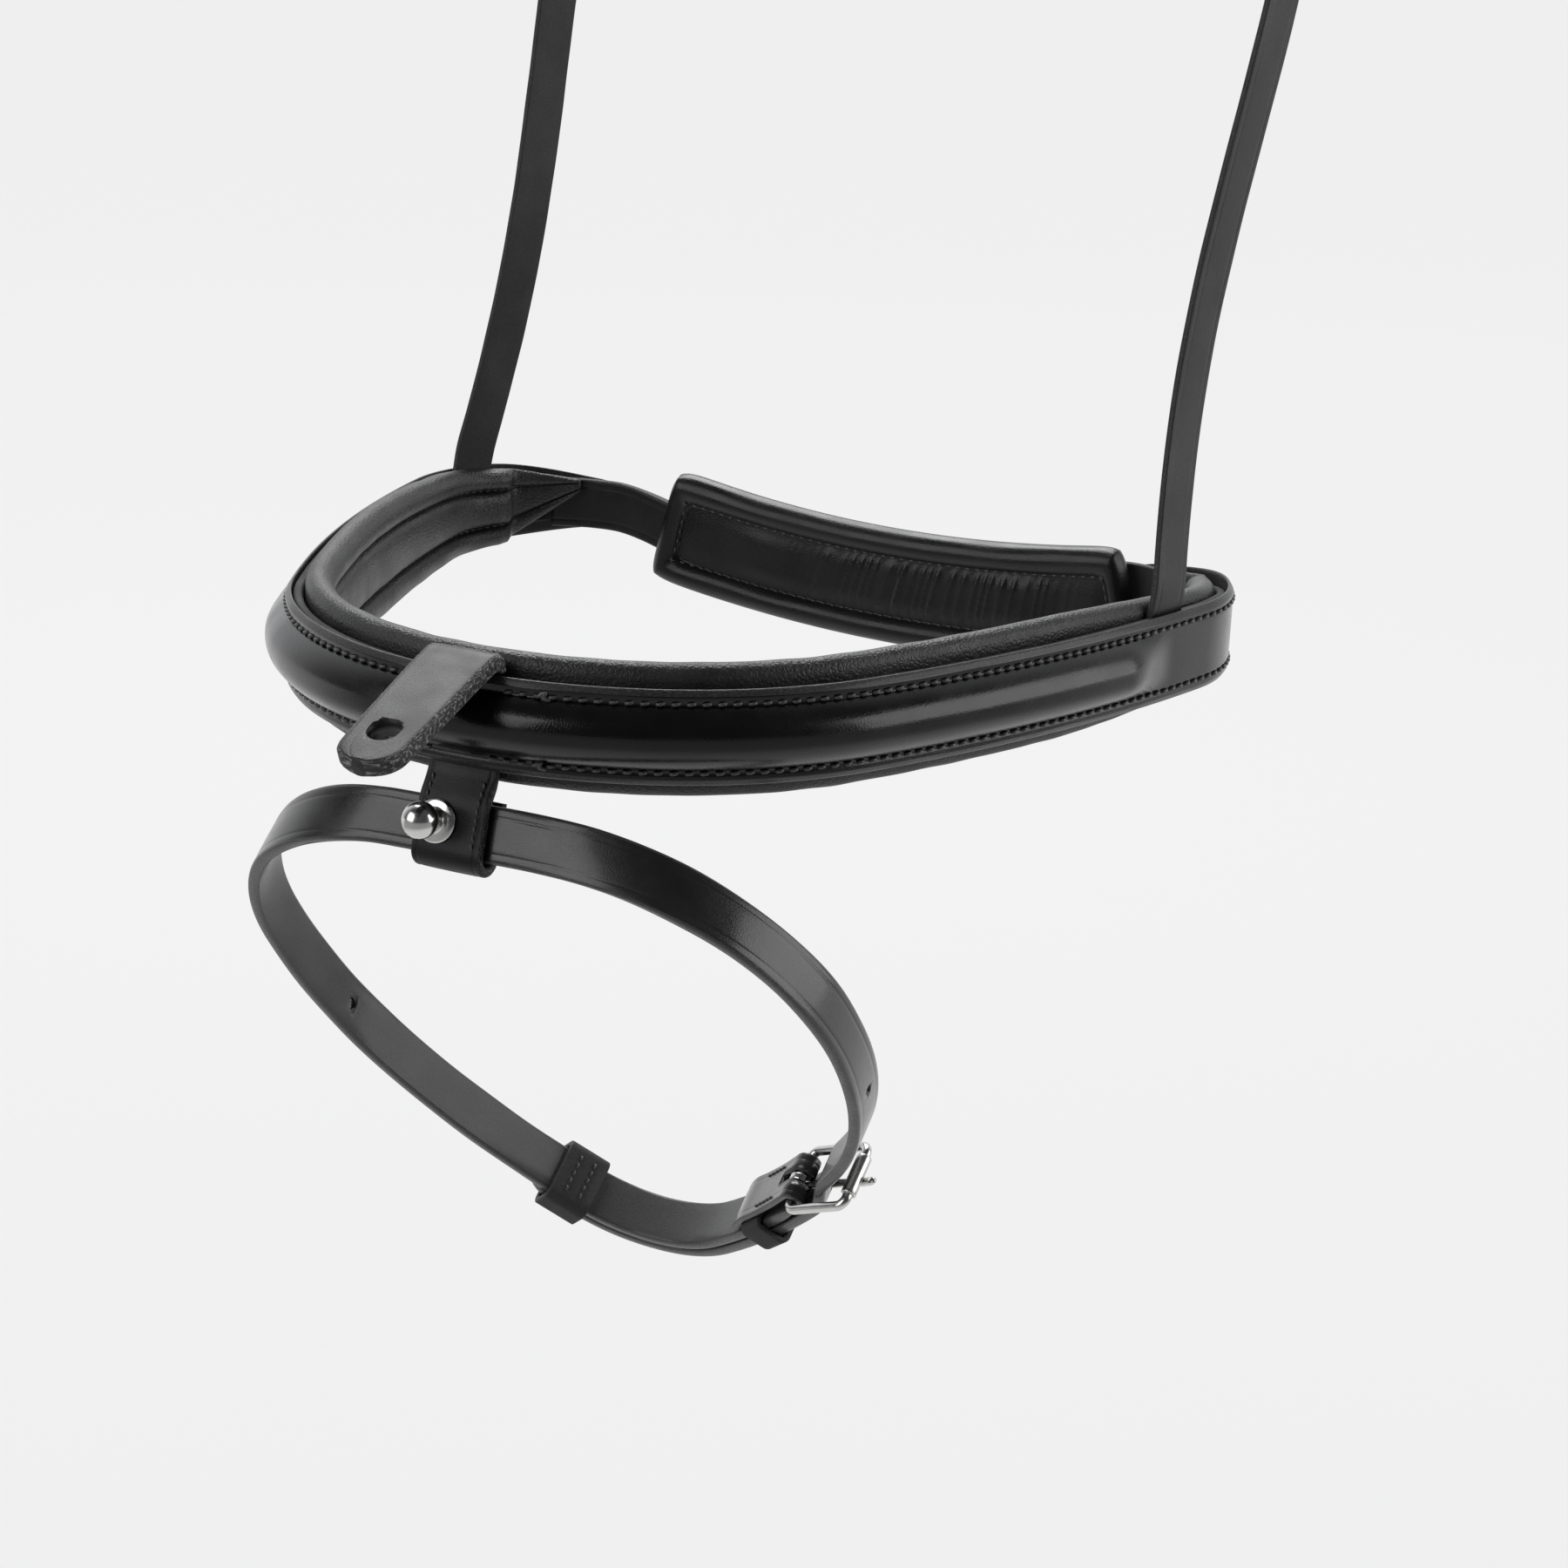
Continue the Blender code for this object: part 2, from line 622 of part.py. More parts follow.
# Flash tab, loop and stud
def flash_tab():
    """The tab that folds over the top edge, with its stud hole."""
    arc_end = 90.0 - TAB_DROP
    ahead = np.array([0.0, -math.cos(turn(TAB_DROP)), -math.sin(turn(TAB_DROP))])

    def around(angle):
        a = turn(angle)
        return TAB_AXIS + TAB_FOLD * np.array([0.0, -math.cos(a), math.sin(a)])

    arc = [around(a) for a in np.linspace(180.0, arc_end, 7)]
    tip = TAB_WIDTH / 2 - 1.0
    reach = [5.0, 16.0, 27.0] + [TAB_LENGTH - tip * a for a in (1.0, 0.72, 0.46, 0.26, 0.12, 0.0)]
    run = [arc[-1] + ahead * d for d in reach]
    width = [TAB_WIDTH] * len(arc)
    stem = BACKING_THICK - 0.4
    thick = [stem, stem + 0.2 * (TAB_THICK - stem), stem + 0.7 * (TAB_THICK - stem)]
    thick += [TAB_THICK] * (len(arc) + len(reach) - len(thick))
    for d in reach:
        into = max(d - (TAB_LENGTH - tip), 0.0) / tip
        narrow = TAB_WIDTH - 2.0 * d / TAB_LENGTH
        width.append(max(narrow * math.sqrt(max(1 - into ** 2.4, 0.0)), narrow * 0.42))
    ob = ribbon("flash_tab", leather("flash_tab", 0.014, 0.4), arc + run, [1, 0, 0], width,
                np.array(thick), origin=TAB_AXIS)
    face = unit(np.cross(ahead, [1, 0, 0]))
    cut(ob, rod_at("cut", arc[-1] + ahead * TAB_HOLE_PLACE, face, TAB_HOLE / 2, 12.0, 20))
    return ob


LOOP_DOWN = np.array([0.0, -math.sin(turn(LOOP_LEAN)), -math.cos(turn(LOOP_LEAN))])
LOOP_OUT = np.array([0.0, -math.cos(turn(LOOP_LEAN)), math.sin(turn(LOOP_LEAN))])
LOOP_SLACK = 0.8
PANEL_OUT = 1.6


def loop_path():
    """The flash loop's middle line as (down, out): stem, front panel, fold and back."""
    space = STRAP_THICK + 2 * LOOP_SLACK + LOOP_THICK
    bend = space / 2
    low = LOOP_LENGTH - bend - LOOP_THICK / 2
    out = PANEL_OUT
    front = [(0.0, 0.0), (3.0, 0.0), (6.5, out / 2), (9.5, out), (14.0, out), (low, out)]
    arc = [(low + bend * math.sin(a), out - bend + bend * math.cos(a))
           for a in np.linspace(0, math.pi, 7)[1:]]
    back = [(d, out - space) for d in (14.0, 11.0, 8.2)]
    return front + arc + back


def in_loop(down, out, x=0.0):
    """A place in the flash loop's own directions, in space."""
    return LOOP_AXIS + down * LOOP_DOWN + out * LOOP_OUT + np.array([x, 0.0, 0.0])


STRAP_DOWN = 15.4
STRAP_OUT = PANEL_OUT - LOOP_THICK / 2 - LOOP_SLACK - STRAP_THICK / 2


def flash_loop():
    """The folded leather loop that carries the flash strap and the stud."""
    path = [in_loop(*p) for p in loop_path()]
    thick = np.array([LOOP_THICK - 0.5] * 2 + [LOOP_THICK] * (len(path) - 2))
    ob = ribbon("flash_loop", leather("flash_loop", 0.01, 0.5), path, [1, 0, 0], LOOP_WIDTH,
                thick, origin=LOOP_AXIS)
    centre = in_loop(STUD_DOWN, PANEL_OUT, STUD_SIDE)
    cut(ob, rod_at("cut", centre, LOOP_OUT, 1.5, LOOP_THICK * 1.6, 16))
    cut(ob, rod_at("cut", in_loop(STUD_DOWN, PANEL_OUT - LOOP_THICK / 2, STUD_SIDE), LOOP_OUT, 3.3, 2.0, 16))
    return ob


def stud():
    """The steel stud and the screw that holds it from behind."""
    front = LOOP_THICK / 2 + 0.3
    centre = in_loop(STUD_DOWN, PANEL_OUT, STUD_SIDE)
    ball = STUD_BALL / 2
    middle = front + STUD_REACH
    neck = STUD_NECK / 2
    reach = math.sqrt(ball ** 2 - neck ** 2)
    outline = [(front, 0.0), (front, STUD_BASE / 2 - 0.4), (front + 0.3, STUD_BASE / 2),
               (front + 0.8, STUD_BASE / 2 - 0.5), (front + 1.1, neck), (middle - reach, neck)]
    outline += [(middle - ball * math.cos(a), ball * math.sin(a))
                for a in np.linspace(turn(55), turn(158), 6)]
    outline += [(middle + ball, 0.0)]
    turned("flash_stud", steel("flash_stud"), centre, LOOP_OUT, outline, 16, LOOP_AXIS)
    back = -LOOP_THICK / 2
    screw = [(back - 0.1, 0.0), (back - 0.1, 2.9), (back + 0.7, 2.9), (back + 0.7, 1.2),
             (front - 0.3, 1.2), (front - 0.3, 0.0)]
    turned("stud_screw", steel("stud_screw"), centre, LOOP_OUT, screw, 16, LOOP_AXIS)


# Flash strap: lengths and turns from the loop round by the near side, then two that close it
FLASH_PIECES = [(14.0, 0.0), (14.0, 6.0), (79.0, 76.5), (62.0, 41.0), (73.5, 19.0),
                (43.5, 80.0), (64.0, 22.5)]
FLASH_CLOSE = [26.0, 89.0]
FLASH_LAST = (16.0, 0.0)


def flash_curve():
    """The closed middle line, with the two closing arcs solved for length."""
    def run(pieces):
        return Curve((0.0, 0.0), pieces).starts[-1]

    def miss(lengths):
        pieces = FLASH_PIECES + list(zip(lengths, FLASH_CLOSE)) + [FLASH_LAST]
        return np.array(run(pieces)[1:3])

    start = np.array([50.0, 90.0])
    base = miss(start)
    grad = np.column_stack([miss(start + np.eye(2)[i]) - base for i in range(2)])
    lengths = start - np.linalg.solve(grad, base)
    return Curve((0.0, 0.0), FLASH_PIECES + list(zip(lengths, FLASH_CLOSE)) + [FLASH_LAST])


FLASH = flash_curve()
FLASH_START = in_loop(STRAP_DOWN, STRAP_OUT, -LOOP_SIDE)
FLASH_V = np.array([0.0, math.cos(FLASH_TILT), -math.sin(FLASH_TILT)])
FLASH_U = np.array([math.cos(FLASH_ROLL), 0.0, math.sin(FLASH_ROLL)])
FLASH_W = np.cross(FLASH_U, FLASH_V)
FLASH_V = np.cross(FLASH_W, FLASH_U)
FLASH_TWIST = FLASH_TILT - turn(LOOP_LEAN)
FLASH_BUCKLE = 196.0
FLASH_TIP = 302.0
FLASH_FIXED_KEEPER = 23.0
FLASH_SLIDER = 290.0
FLASH_HOLES = (-37.5, -62.5, 176.0)


def flash_frame(s):
    """Place, outward normal, travel and width directions of the flash strap at s."""
    s = s % FLASH.length
    x, v, h = FLASH.at(s)
    place = FLASH_START + x * FLASH_U + v * FLASH_V
    normal = math.sin(h) * FLASH_U - math.cos(h) * FLASH_V
    along = math.cos(h) * FLASH_U + math.sin(h) * FLASH_V
    away = min(s, FLASH.length - s)
    twist = FLASH_TWIST * (1 - smooth((away - 13.0) / 62.0))
    return (place, normal * math.cos(twist) - FLASH_W * math.sin(twist), along,
            FLASH_W * math.cos(twist) + normal * math.sin(twist))


def flash_seat(s):
    """A seat on the flash strap."""
    place, normal, along, across = flash_frame(s)
    return Seat(place, along, normal, across)


def flash_strap():
    """The flash strap in one piece: folded chape, round the loop, through the buckle, tip."""
    seat = flash_seat(FLASH_BUCKLE)
    keeper_thick, keeper_slack = 1.4, 0.6
    lie = -(STRAP_THICK / 2 + keeper_slack + keeper_thick + SEAM_GAP + CHAPE_THICK / 2)
    fold = fold_path(FLASH_FIXED_KEEPER + 11.0, lie)
    centres = [flash_seat(FLASH_BUCKLE + x).put(0, y) if x > 2.0 else seat.put(x, y) for x, y in fold]
    sides = [seat.axes[2]] * len(fold)
    thick = [CHAPE_THICK] * len(fold)
    total = FLASH.length
    stations = np.concatenate([FLASH_BUCKLE + np.array([3.0, 6.0, 9.0, 12.0]),
                               spaced(FLASH_BUCKLE + 18.0, total + FLASH_BUCKLE + ROLLER_PAST - 3.0, 7.6),
                               total + FLASH_BUCKLE + np.append(spaced(ROLLER_PAST, 0.0, 3.3),
                                                             [3.0, 6.0, 9.0, 12.0]),
                               spaced(total + FLASH_BUCKLE + 18.0, total + FLASH_TIP - 9.0, 7.6),
                               total + FLASH_TIP + np.array([-6.5, -4.5, -2.5, -1.0, 0.0])])
    width = [FLASH_WIDTH] * len(fold)
    for s in stations:
        past = s - total - FLASH_BUCKLE
        lift = weave(past) if past > ROLLER_PAST else 0.0
        place, normal, _, across = flash_frame(s)
        centres.append(place + lift * normal)
        sides.append(across)
        thick.append(eased(s - FLASH_BUCKLE, [(3.0, CHAPE_THICK), (12.0, STRAP_THICK)]))
        into = max(s - (total + FLASH_TIP - 8.0), 0.0) / 8.0
        width.append(FLASH_WIDTH * max(math.sqrt(max(1 - into ** 2, 0.0)), 0.3))
    ob = ribbon("flash_strap", leather("flash_strap", 0.014, 0.35), centres, np.array(sides),
                np.array(width), np.array(thick))
    prong_slot(ob, seat)
    prong_hole(ob, seat)
    for place in FLASH_HOLES:
        place, normal, _, _ = flash_frame(FLASH_BUCKLE + place)
        cut(ob, rod_at("cut", place, normal, 1.4, 8.0, 10))
    buckle("flash_buckle", seat, FLASH_WIDTH)
    fixed = flash_seat(FLASH_BUCKLE + FLASH_FIXED_KEEPER)
    over = STRAP_THICK + 0.45 + STRAP_THICK / 2
    keeper("flash_fixed_keeper", leather("flash_fixed_keeper"), fixed, -STRAP_THICK / 2, over,
           FLASH_WIDTH, 9.0, slack=keeper_slack, thick=keeper_thick)
    slide = flash_seat(FLASH_SLIDER)
    keeper("flash_sliding_keeper", leather("flash_sliding_keeper"), slide, -STRAP_THICK / 2, over,
           FLASH_WIDTH, 12.0, origin=slide.origin, slack=0.8)
    return ob


# Chin strap
CHIN_N = -0.8
OUTER_N = 6.5
RING_N = (CHIN_N + OUTER_N) / 2
RING_FRONT = CORNER_END + 10.5
RING_REAR = RING_FRONT + 14.0
CHIN_BUCKLE_X = -22.0
CHIN_TIP_X = -56.0


def back_x(s):
    """The X of a place s on the straight back, near side."""
    return BACK_HALF - (s - CORNER_END)


def chin_seat(x):
    """A seat on the straight back: X runs to the off side, Y outwards."""
    return Seat([x, BACK_Y + OUTER_N, 0.0], [-1, 0, 0], [0, 1, 0], [0, 0, 1])


def chin_strap():
    """From the off end, behind the pad, round the near ring and back over the outside."""
    up = [0, 0, 1.0]
    inner_s = np.concatenate([spaced(-BACKING_REACH - 0.6, -CORNER_END, 4.6),
                              spaced(-CORNER_END - 8.0, -HALF_LENGTH, 20.0)])
    centres = [on_hoop(s, eased(abs(s), [(PADDING_REACH, 0.0), (CORNER_END + 6.0, CHIN_N)]))
               for s in inner_s]
    rear_x = back_x(RING_REAR)
    bend = (OUTER_N - CHIN_N) / 2
    centres += [np.array([x, BACK_Y + CHIN_N, 0.0]) for x in (rear_x * 0.5, rear_x)]
    centres += [np.array([rear_x + bend * math.sin(a), BACK_Y + RING_N - bend * math.cos(a), 0.0])
                for a in np.linspace(0, math.pi, 7)[1:]]
    outs = list(spaced(rear_x - 10.0, CHIN_BUCKLE_X - ROLLER_PAST + 3.0, 20.0))
    outs += [CHIN_BUCKLE_X - d for d in [*spaced(ROLLER_PAST, 0.0, 3.3), 3.0, 6.0, 9.0, 12.0]]
    outs += [CHIN_TIP_X + d for d in (16.0, 9.0, 6.5, 4.5, 2.5, 1.0, 0.0)]
    width = [CHIN_WIDTH] * len(centres)
    for x in outs:
        centres.append(np.array([x, BACK_Y + OUTER_N + weave(CHIN_BUCKLE_X - x), 0.0]))
        into = max(CHIN_TIP_X + 9.0 - x, 0.0) / 9.0
        width.append(CHIN_WIDTH * max(math.sqrt(max(1 - into ** 2, 0.0)), 0.3))
    thick = [BACKING_THICK - 0.1 if abs(s) < LEATHER_REACH + 2 else STRAP_THICK for s in inner_s]
    thick += [STRAP_THICK] * (len(centres) - len(thick))
    ob = ribbon("chin_strap", leather("chin_strap", 0.014, 0.4), centres, up, np.array(width),
                np.array(thick))
    prong_hole(ob, chin_seat(CHIN_BUCKLE_X))
    return ob


def chin_buckle():
    """The chin buckle with its folded chape, fixed keeper and sliding keeper."""
    seat = chin_seat(CHIN_BUCKLE_X)
    lie = CHIN_N + STRAP_THICK / 2 + SEAM_GAP + CHAPE_THICK / 2 - OUTER_N
    path = fold_path(34.0, lie) + [(x, eased(x, [(3.0, 0.0), (12.0, lie + CHAPE_THICK + SEAM_GAP)]))
                                   for x in (3.0, 6.0, 9.0, 12.0, 22.0, 34.0)]
    ob = ribbon("chin_chape", leather("chin_chape"), [seat.put(*p) for p in path], seat.axes[2],
                CHIN_WIDTH, CHAPE_THICK)
    prong_slot(ob, seat)
    buckle("chin_buckle", seat, CHIN_WIDTH)
    low = CHIN_N - STRAP_THICK / 2 - OUTER_N
    high = STRAP_THICK + 0.45 + STRAP_THICK / 2
    fixed = Seat(seat.put(19.0, 0.0), *seat.axes)
    keeper("chin_fixed_keeper", leather("chin_fixed_keeper"), fixed, low, high, CHIN_WIDTH, 8.0)


def near_ring():
    """The steel ring at the near end and the leather chape that holds it."""
    front, rear = back_x(RING_FRONT), back_x(RING_REAR)
    seat = Seat([front, BACK_Y, 0.0], [-1, 0, 0], [0, 1, 0], [0, 0, 1])
    centre = seat.put(0, RING_N)
    wire_rectangle("near_ring", steel("near_ring"), seat, (0, RING_N), (front - rear, RING_N),
                   CHIN_WIDTH / 2 + 0.9 + WIRE_RADIUS, WIRE_RADIUS, centre)
    thick = BACKING_THICK - 0.2
    stem = [on_hoop(s, 0.0) for s in spaced(BACKING_REACH + 0.6, CORNER_END, 4.0)]
    stem += [on_hoop(s, 0.0) for s in (CORNER_END + 4.0, RING_FRONT)]
    arc = [seat.put(RING_N * math.sin(a), RING_N - RING_N * math.cos(a))
           for a in np.linspace(0, math.pi, 7)[1:]]
    back = [seat.put(-x, 2 * RING_N) for x in (4.0, 9.0)]
    ribbon("near_chape", leather("near_chape"), stem + arc + back, [0, 0, 1], CHIN_WIDTH - 1.0, thick)


# Chin pad
PAD_FACE = CHIN_N - STRAP_THICK / 2 - 0.35 - 1.6 - 0.3


def chin_pad():
    """The jaw pad: a flat back and a stitched-down rim round a soft crown."""
    bm = bmesh.new()
    across = np.array([-1, -0.9, -0.74, -0.5, 0, 0.5, 0.74, 0.9, 1])
    along = np.concatenate([[-1, -0.975, -0.93], np.linspace(-0.85, 0.85, 13), [0.93, 0.975, 1]])
    origin = np.array([PAD_CENTRE, BACK_Y, 0.0])

    def inner(u, v):
        rim = min((1 - abs(u)) * PAD_LENGTH / 2, (1 - abs(v)) * PAD_HEIGHT / 2)
        edge = math.sin(min(rim / 2.0, 1.0) * math.pi / 2)
        seam = math.exp(-((rim - 4.2) / 1.1) ** 2)
        crown = smooth((rim - 4.5) / 8.0)
        return PAD_THICK * (0.42 + 0.32 * edge - 0.16 * seam + 0.26 * crown)

    def spot(u, v, depth):
        sag = PAD_LOW + PAD_SAG * (1 - u * u) + PAD_TILT * u
        return origin + np.array([u * (PAD_LENGTH - PAD_SLANT * v) / 2, PAD_FACE - depth,
                                  v * PAD_HEIGHT / 2 - sag])

    front = [[bm.verts.new(spot(u, v, inner(u, v))) for v in across] for u in along]
    back = [[bm.verts.new(spot(u, v, 0.0)) for v in (-1, 0, 1)] for u in along]
    for i in range(len(along) - 1):
        for j in range(len(across) - 1):
            bm.faces.new((front[i][j], front[i][j + 1], front[i + 1][j + 1], front[i + 1][j]))
        for j in range(2):
            bm.faces.new((back[i][j], back[i][j + 1], back[i + 1][j + 1], back[i + 1][j]))
        for a, b in ((0, 0), (-1, -1)):
            bm.faces.new((front[i][a], front[i + 1][a], back[i + 1][b], back[i][b]))
    for i in (0, -1):
        bm.faces.new(front[i] + back[i][::-1])
    finish("chin_pad", bm, leather("chin_pad", 0.012, 0.4), True, origin)
    for label, x in (("off", PAD_CENTRE - 4.0), ("near", PAD_CENTRE + 26.0)):
        seat = Seat([x, BACK_Y, 0.0], [-1, 0, 0], [0, 1, 0], [0, 0, 1])
        keeper("pad_loop_" + label, leather("pad_loop_" + label), seat, CHIN_N - STRAP_THICK / 2,
               CHIN_N + STRAP_THICK / 2, CHIN_WIDTH, 11.0, origin=origin)


def main():
    """Clear the scene and build every piece."""
    for ob in list(bpy.data.objects):
        bpy.data.objects.remove(ob)
    nosepiece_leather()
    nosepiece_filler()
    nosepiece_backing()
    nosepiece_padding()
    roots()
    for side in (-1, 1):
        hanger(side)
    flash_tab()
    flash_loop()
    stud()
    flash_strap()
    chin_strap()
    chin_buckle()
    near_ring()
    chin_pad()


main()
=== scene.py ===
"""The dressed noseband: leather, padding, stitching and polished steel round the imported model.

Lengths are in the noseband's own millimetres, with the middle of the nose at
(0, -NOSE_DEPTH, 0) and the horse's near side at +X.  surface() turns them into the frame's
metres, measured from the point that the noseband hangs from.
"""
import math

import bmesh
import bpy
import numpy as np
from mathutils import Matrix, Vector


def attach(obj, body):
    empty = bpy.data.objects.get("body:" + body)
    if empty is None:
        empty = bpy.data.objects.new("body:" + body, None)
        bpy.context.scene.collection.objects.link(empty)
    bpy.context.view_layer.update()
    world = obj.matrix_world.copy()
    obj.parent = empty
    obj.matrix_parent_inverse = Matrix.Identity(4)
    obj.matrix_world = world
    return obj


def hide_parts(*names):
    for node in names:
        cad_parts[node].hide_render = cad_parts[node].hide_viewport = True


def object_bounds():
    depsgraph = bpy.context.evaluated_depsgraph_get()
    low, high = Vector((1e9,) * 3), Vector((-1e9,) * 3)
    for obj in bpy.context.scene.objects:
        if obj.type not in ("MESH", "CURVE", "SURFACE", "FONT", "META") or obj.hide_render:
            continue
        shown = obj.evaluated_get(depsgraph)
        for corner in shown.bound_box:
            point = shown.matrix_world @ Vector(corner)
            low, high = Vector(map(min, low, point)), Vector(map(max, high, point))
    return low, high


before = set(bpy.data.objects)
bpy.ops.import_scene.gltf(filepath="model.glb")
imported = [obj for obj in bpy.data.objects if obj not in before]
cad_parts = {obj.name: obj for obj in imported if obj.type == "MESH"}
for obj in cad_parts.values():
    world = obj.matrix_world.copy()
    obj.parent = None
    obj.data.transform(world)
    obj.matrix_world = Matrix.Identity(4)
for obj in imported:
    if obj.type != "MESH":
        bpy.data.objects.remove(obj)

CAD_LOW, CAD_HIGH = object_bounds()

METRE = 0.001
HANG_POINT = np.array([10.5676, 117.7462, 209.8134])
X_WAY, Y_WAY, UP = np.eye(3)

# The noseband's own sizes: mm, with turns, leans and drops in degrees
NOSE_DEPTH = 84.0
FRONT_ARC, FRONT_TURN = 95.0, 63.4
SIDE_ARC, SIDE_TURN = 117.0, 16.2
CORNER_ARC = 68.0
SEAM_GAP = 0.3
LEATHER_HEIGHT, LEATHER_THICK, LEATHER_TIP_HEIGHT = 22.0, 1.6, 12.8
RAISE_HEIGHT, RAISE_REACH, RAISE_FADE, ROLL_POWER = 4.6, 196.0, 22.0, 2.3
MARGIN, STITCH_INSET, NARROW_HALF = 3.6, 3.1, 6.0
END_TAPER, END_ROUND = 42.0, 9.0
BACKING_THICK, BACKING_INSET, BACKING_CLEAR = 2.4, 0.6, 1.7
PADDING_HEIGHT, PADDING_THICK = 30.6, 7.2
PADDING_NARROWS, PADDING_END_HEIGHT, SEAM_FROM_TIP = 158.0, 19.5, 25.0
STRAP_THICK, STRAP_HOLE = 3.0, 2.9
FLASH_WIDTH, CHIN_WIDTH, HANGER_WIDTH = 13.0, 14.0, 13.0
NEAR_HANGER_PLACE, OFF_HANGER_PLACE = 194.0, 231.0
HANGER_LENGTH, HANGER_LEAN, HANGER_BOW = 196.0, 12.0, 5.0
FREE_FROM, CLOSED_TO = 17.0, 34.0
FOOT_THICK, FOOT_INSET, FOOT_DEPTH = 1.7, 0.5, 5.0
WIRE_RADIUS = 1.25
ROLLER_RADIUS, ROLLER_LIFT = 1.9, 1.6
BUCKLE_LENGTH, BUCKLE_ROOM = 18.5, 0.9
CHAPE_THICK = 1.6
KEEPER_THICK, KEEPER_SLACK, SLIDER_SLACK = 1.6, 0.35, 0.8
FIXED_THICK, FIXED_SLACK = 1.4, 0.6
PAD_LENGTH, PAD_HEIGHT, PAD_THICK = 140.0, 31.0, 8.0
PAD_CENTRE, PAD_SAG, PAD_TILT, PAD_SLANT, PAD_LOW = 11.0, 6.0, 1.4, 7.0, 2.4
PAD_SEAM, PAD_ROUND = 7.2, 1.3
BACK_DIP, DIP_RUN = 8.4, 42.0
TAB_LENGTH, TAB_WIDTH, TAB_THICK = 42.4, 18.5, 3.6
TAB_HOLE, TAB_HOLE_PLACE, TAB_DROP = 7.8, 31.2, 21.0
TAB_FOLD, TAB_RISE, TAB_SWELL, TAB_TIP = 2.4, 11.5, 0.6, 7.4
TAB_SIDE, LOOP_SIDE = 1.2, 0.4
LOOP_WIDTH, LOOP_LENGTH, LOOP_LEAN, LOOP_THICK = 18.0, 25.0, 16.0, 2.2
LOOP_SLACK, PANEL_OUT = 0.8, 1.6
STUD_BALL, STUD_BASE, STUD_NECK, STUD_REACH = 8.5, 10.2, 5.0, 6.9
STUD_DOWN, STUD_SIDE = 14.2, -3.2
STRAP_DOWN = 15.4
FLASH_TILT, FLASH_ROLL = math.radians(52.9), math.radians(1.2)
FLASH_BUCKLE, FLASH_TIP, FLASH_TIP_ROUND = 196.0, 302.0, 8.0
FLASH_FIXED_KEEPER, FLASH_SLIDER = 23.0, 290.0
FLASH_HOLES = (-37.5, -62.5, 176.0)
TWIST_FROM, TWIST_OVER = 13.0, 62.0
CHIN_N, OUTER_N = -0.8, 6.5
CHIN_BUCKLE_X, CHIN_TIP_X, CHIN_TIP_ROUND = -22.0, -56.0, 9.0
CHIN_HOLES = (44.0, 64.0)

# Thread and finish, mm
THREAD, FINE_THREAD = 0.9, 0.6
PITCH = 3.3
STRAP_PITCH = 2.5
SEW_INSET = 2.0
CREASE_INSET, CREASE_DEPTH = 1.5, 0.10
EDGE_ROUND = 1.6
WAVES = 5

LEATHER_BACK = BACKING_THICK / 2 + SEAM_GAP
PADDING_FRONT = -BACKING_THICK / 2 - SEAM_GAP - 0.2


# Small helpers
def unit(v):
    """A vector, or rows of vectors, at length one."""
    v = np.asarray(v, float)
    return v / np.linalg.norm(v, axis=-1, keepdims=True)


def smooth(x):
    """A soft step from 0 to 1 while x goes from 0 to 1."""
    x = np.clip(x, 0.0, 1.0)
    return x * x * (3 - 2 * x)


def bell(x, width):
    """A soft bump of height 1 at x = 0: exp(-(x / width)^2)."""
    return np.exp(-(x / width) ** 2)


def eased(s, knots):
    """Values at s between (place, value) knots, joined by soft steps."""
    s = np.asarray(s, float)
    value = np.full(s.shape, float(knots[0][1]))
    for (s0, v0), (s1, v1) in zip(knots, knots[1:]):
        value = np.where(s > s0, v0 + (v1 - v0) * smooth((s - s0) / (s1 - s0)), value)
    return value


def cubic(t, a, b, slope_a, slope_b):
    """The cubic from a to b with those slopes at its ends, at shares t."""
    return ((2 * t ** 3 - 3 * t ** 2 + 1) * a + (t ** 3 - 2 * t ** 2 + t) * slope_a
            + (3 * t ** 2 - 2 * t ** 3) * b + (t ** 3 - t ** 2) * slope_b)


def spaced(a, b, step):
    """Evenly spaced values from a to b, no further apart than step."""
    return np.linspace(a, b, max(2, int(math.ceil(abs(b - a) / step)) + 1))


def travelled(places):
    """The distance from the first place to each place."""
    return np.concatenate([[0], np.cumsum(np.linalg.norm(np.diff(places, axis=0), axis=1))])


def wander(s, size, wave, seed):
    """A gentle unevenness along s: sines of unrelated lengths near wave, of that size in all."""
    rng = np.random.default_rng(seed)
    value = np.zeros(np.shape(s))
    for share in rng.uniform(0.6, 1.9, WAVES):
        value = value + np.sin(2 * math.pi * np.asarray(s) / (wave * share) + rng.uniform(0, 6.3))
    return size * value / math.sqrt(WAVES)


def arc_round(x, y, radius, turns):
    """Places on an arc round (x, y)."""
    return np.stack([x + radius * np.cos(turns), y + radius * np.sin(turns)], -1)


def tip_places(length, first=0.0, count=12):
    """Distances from a round tip that begins at length and ends at 0, ever closer together."""
    return length * (1 - np.sin(np.linspace(first, math.pi / 2, count)))


def tip_share(into, power=2.0, least=0.15):
    """The share of its width that a strap has at a share into its round tip."""
    return np.maximum(np.sqrt(1 - np.clip(into, 0, 1) ** power), least)


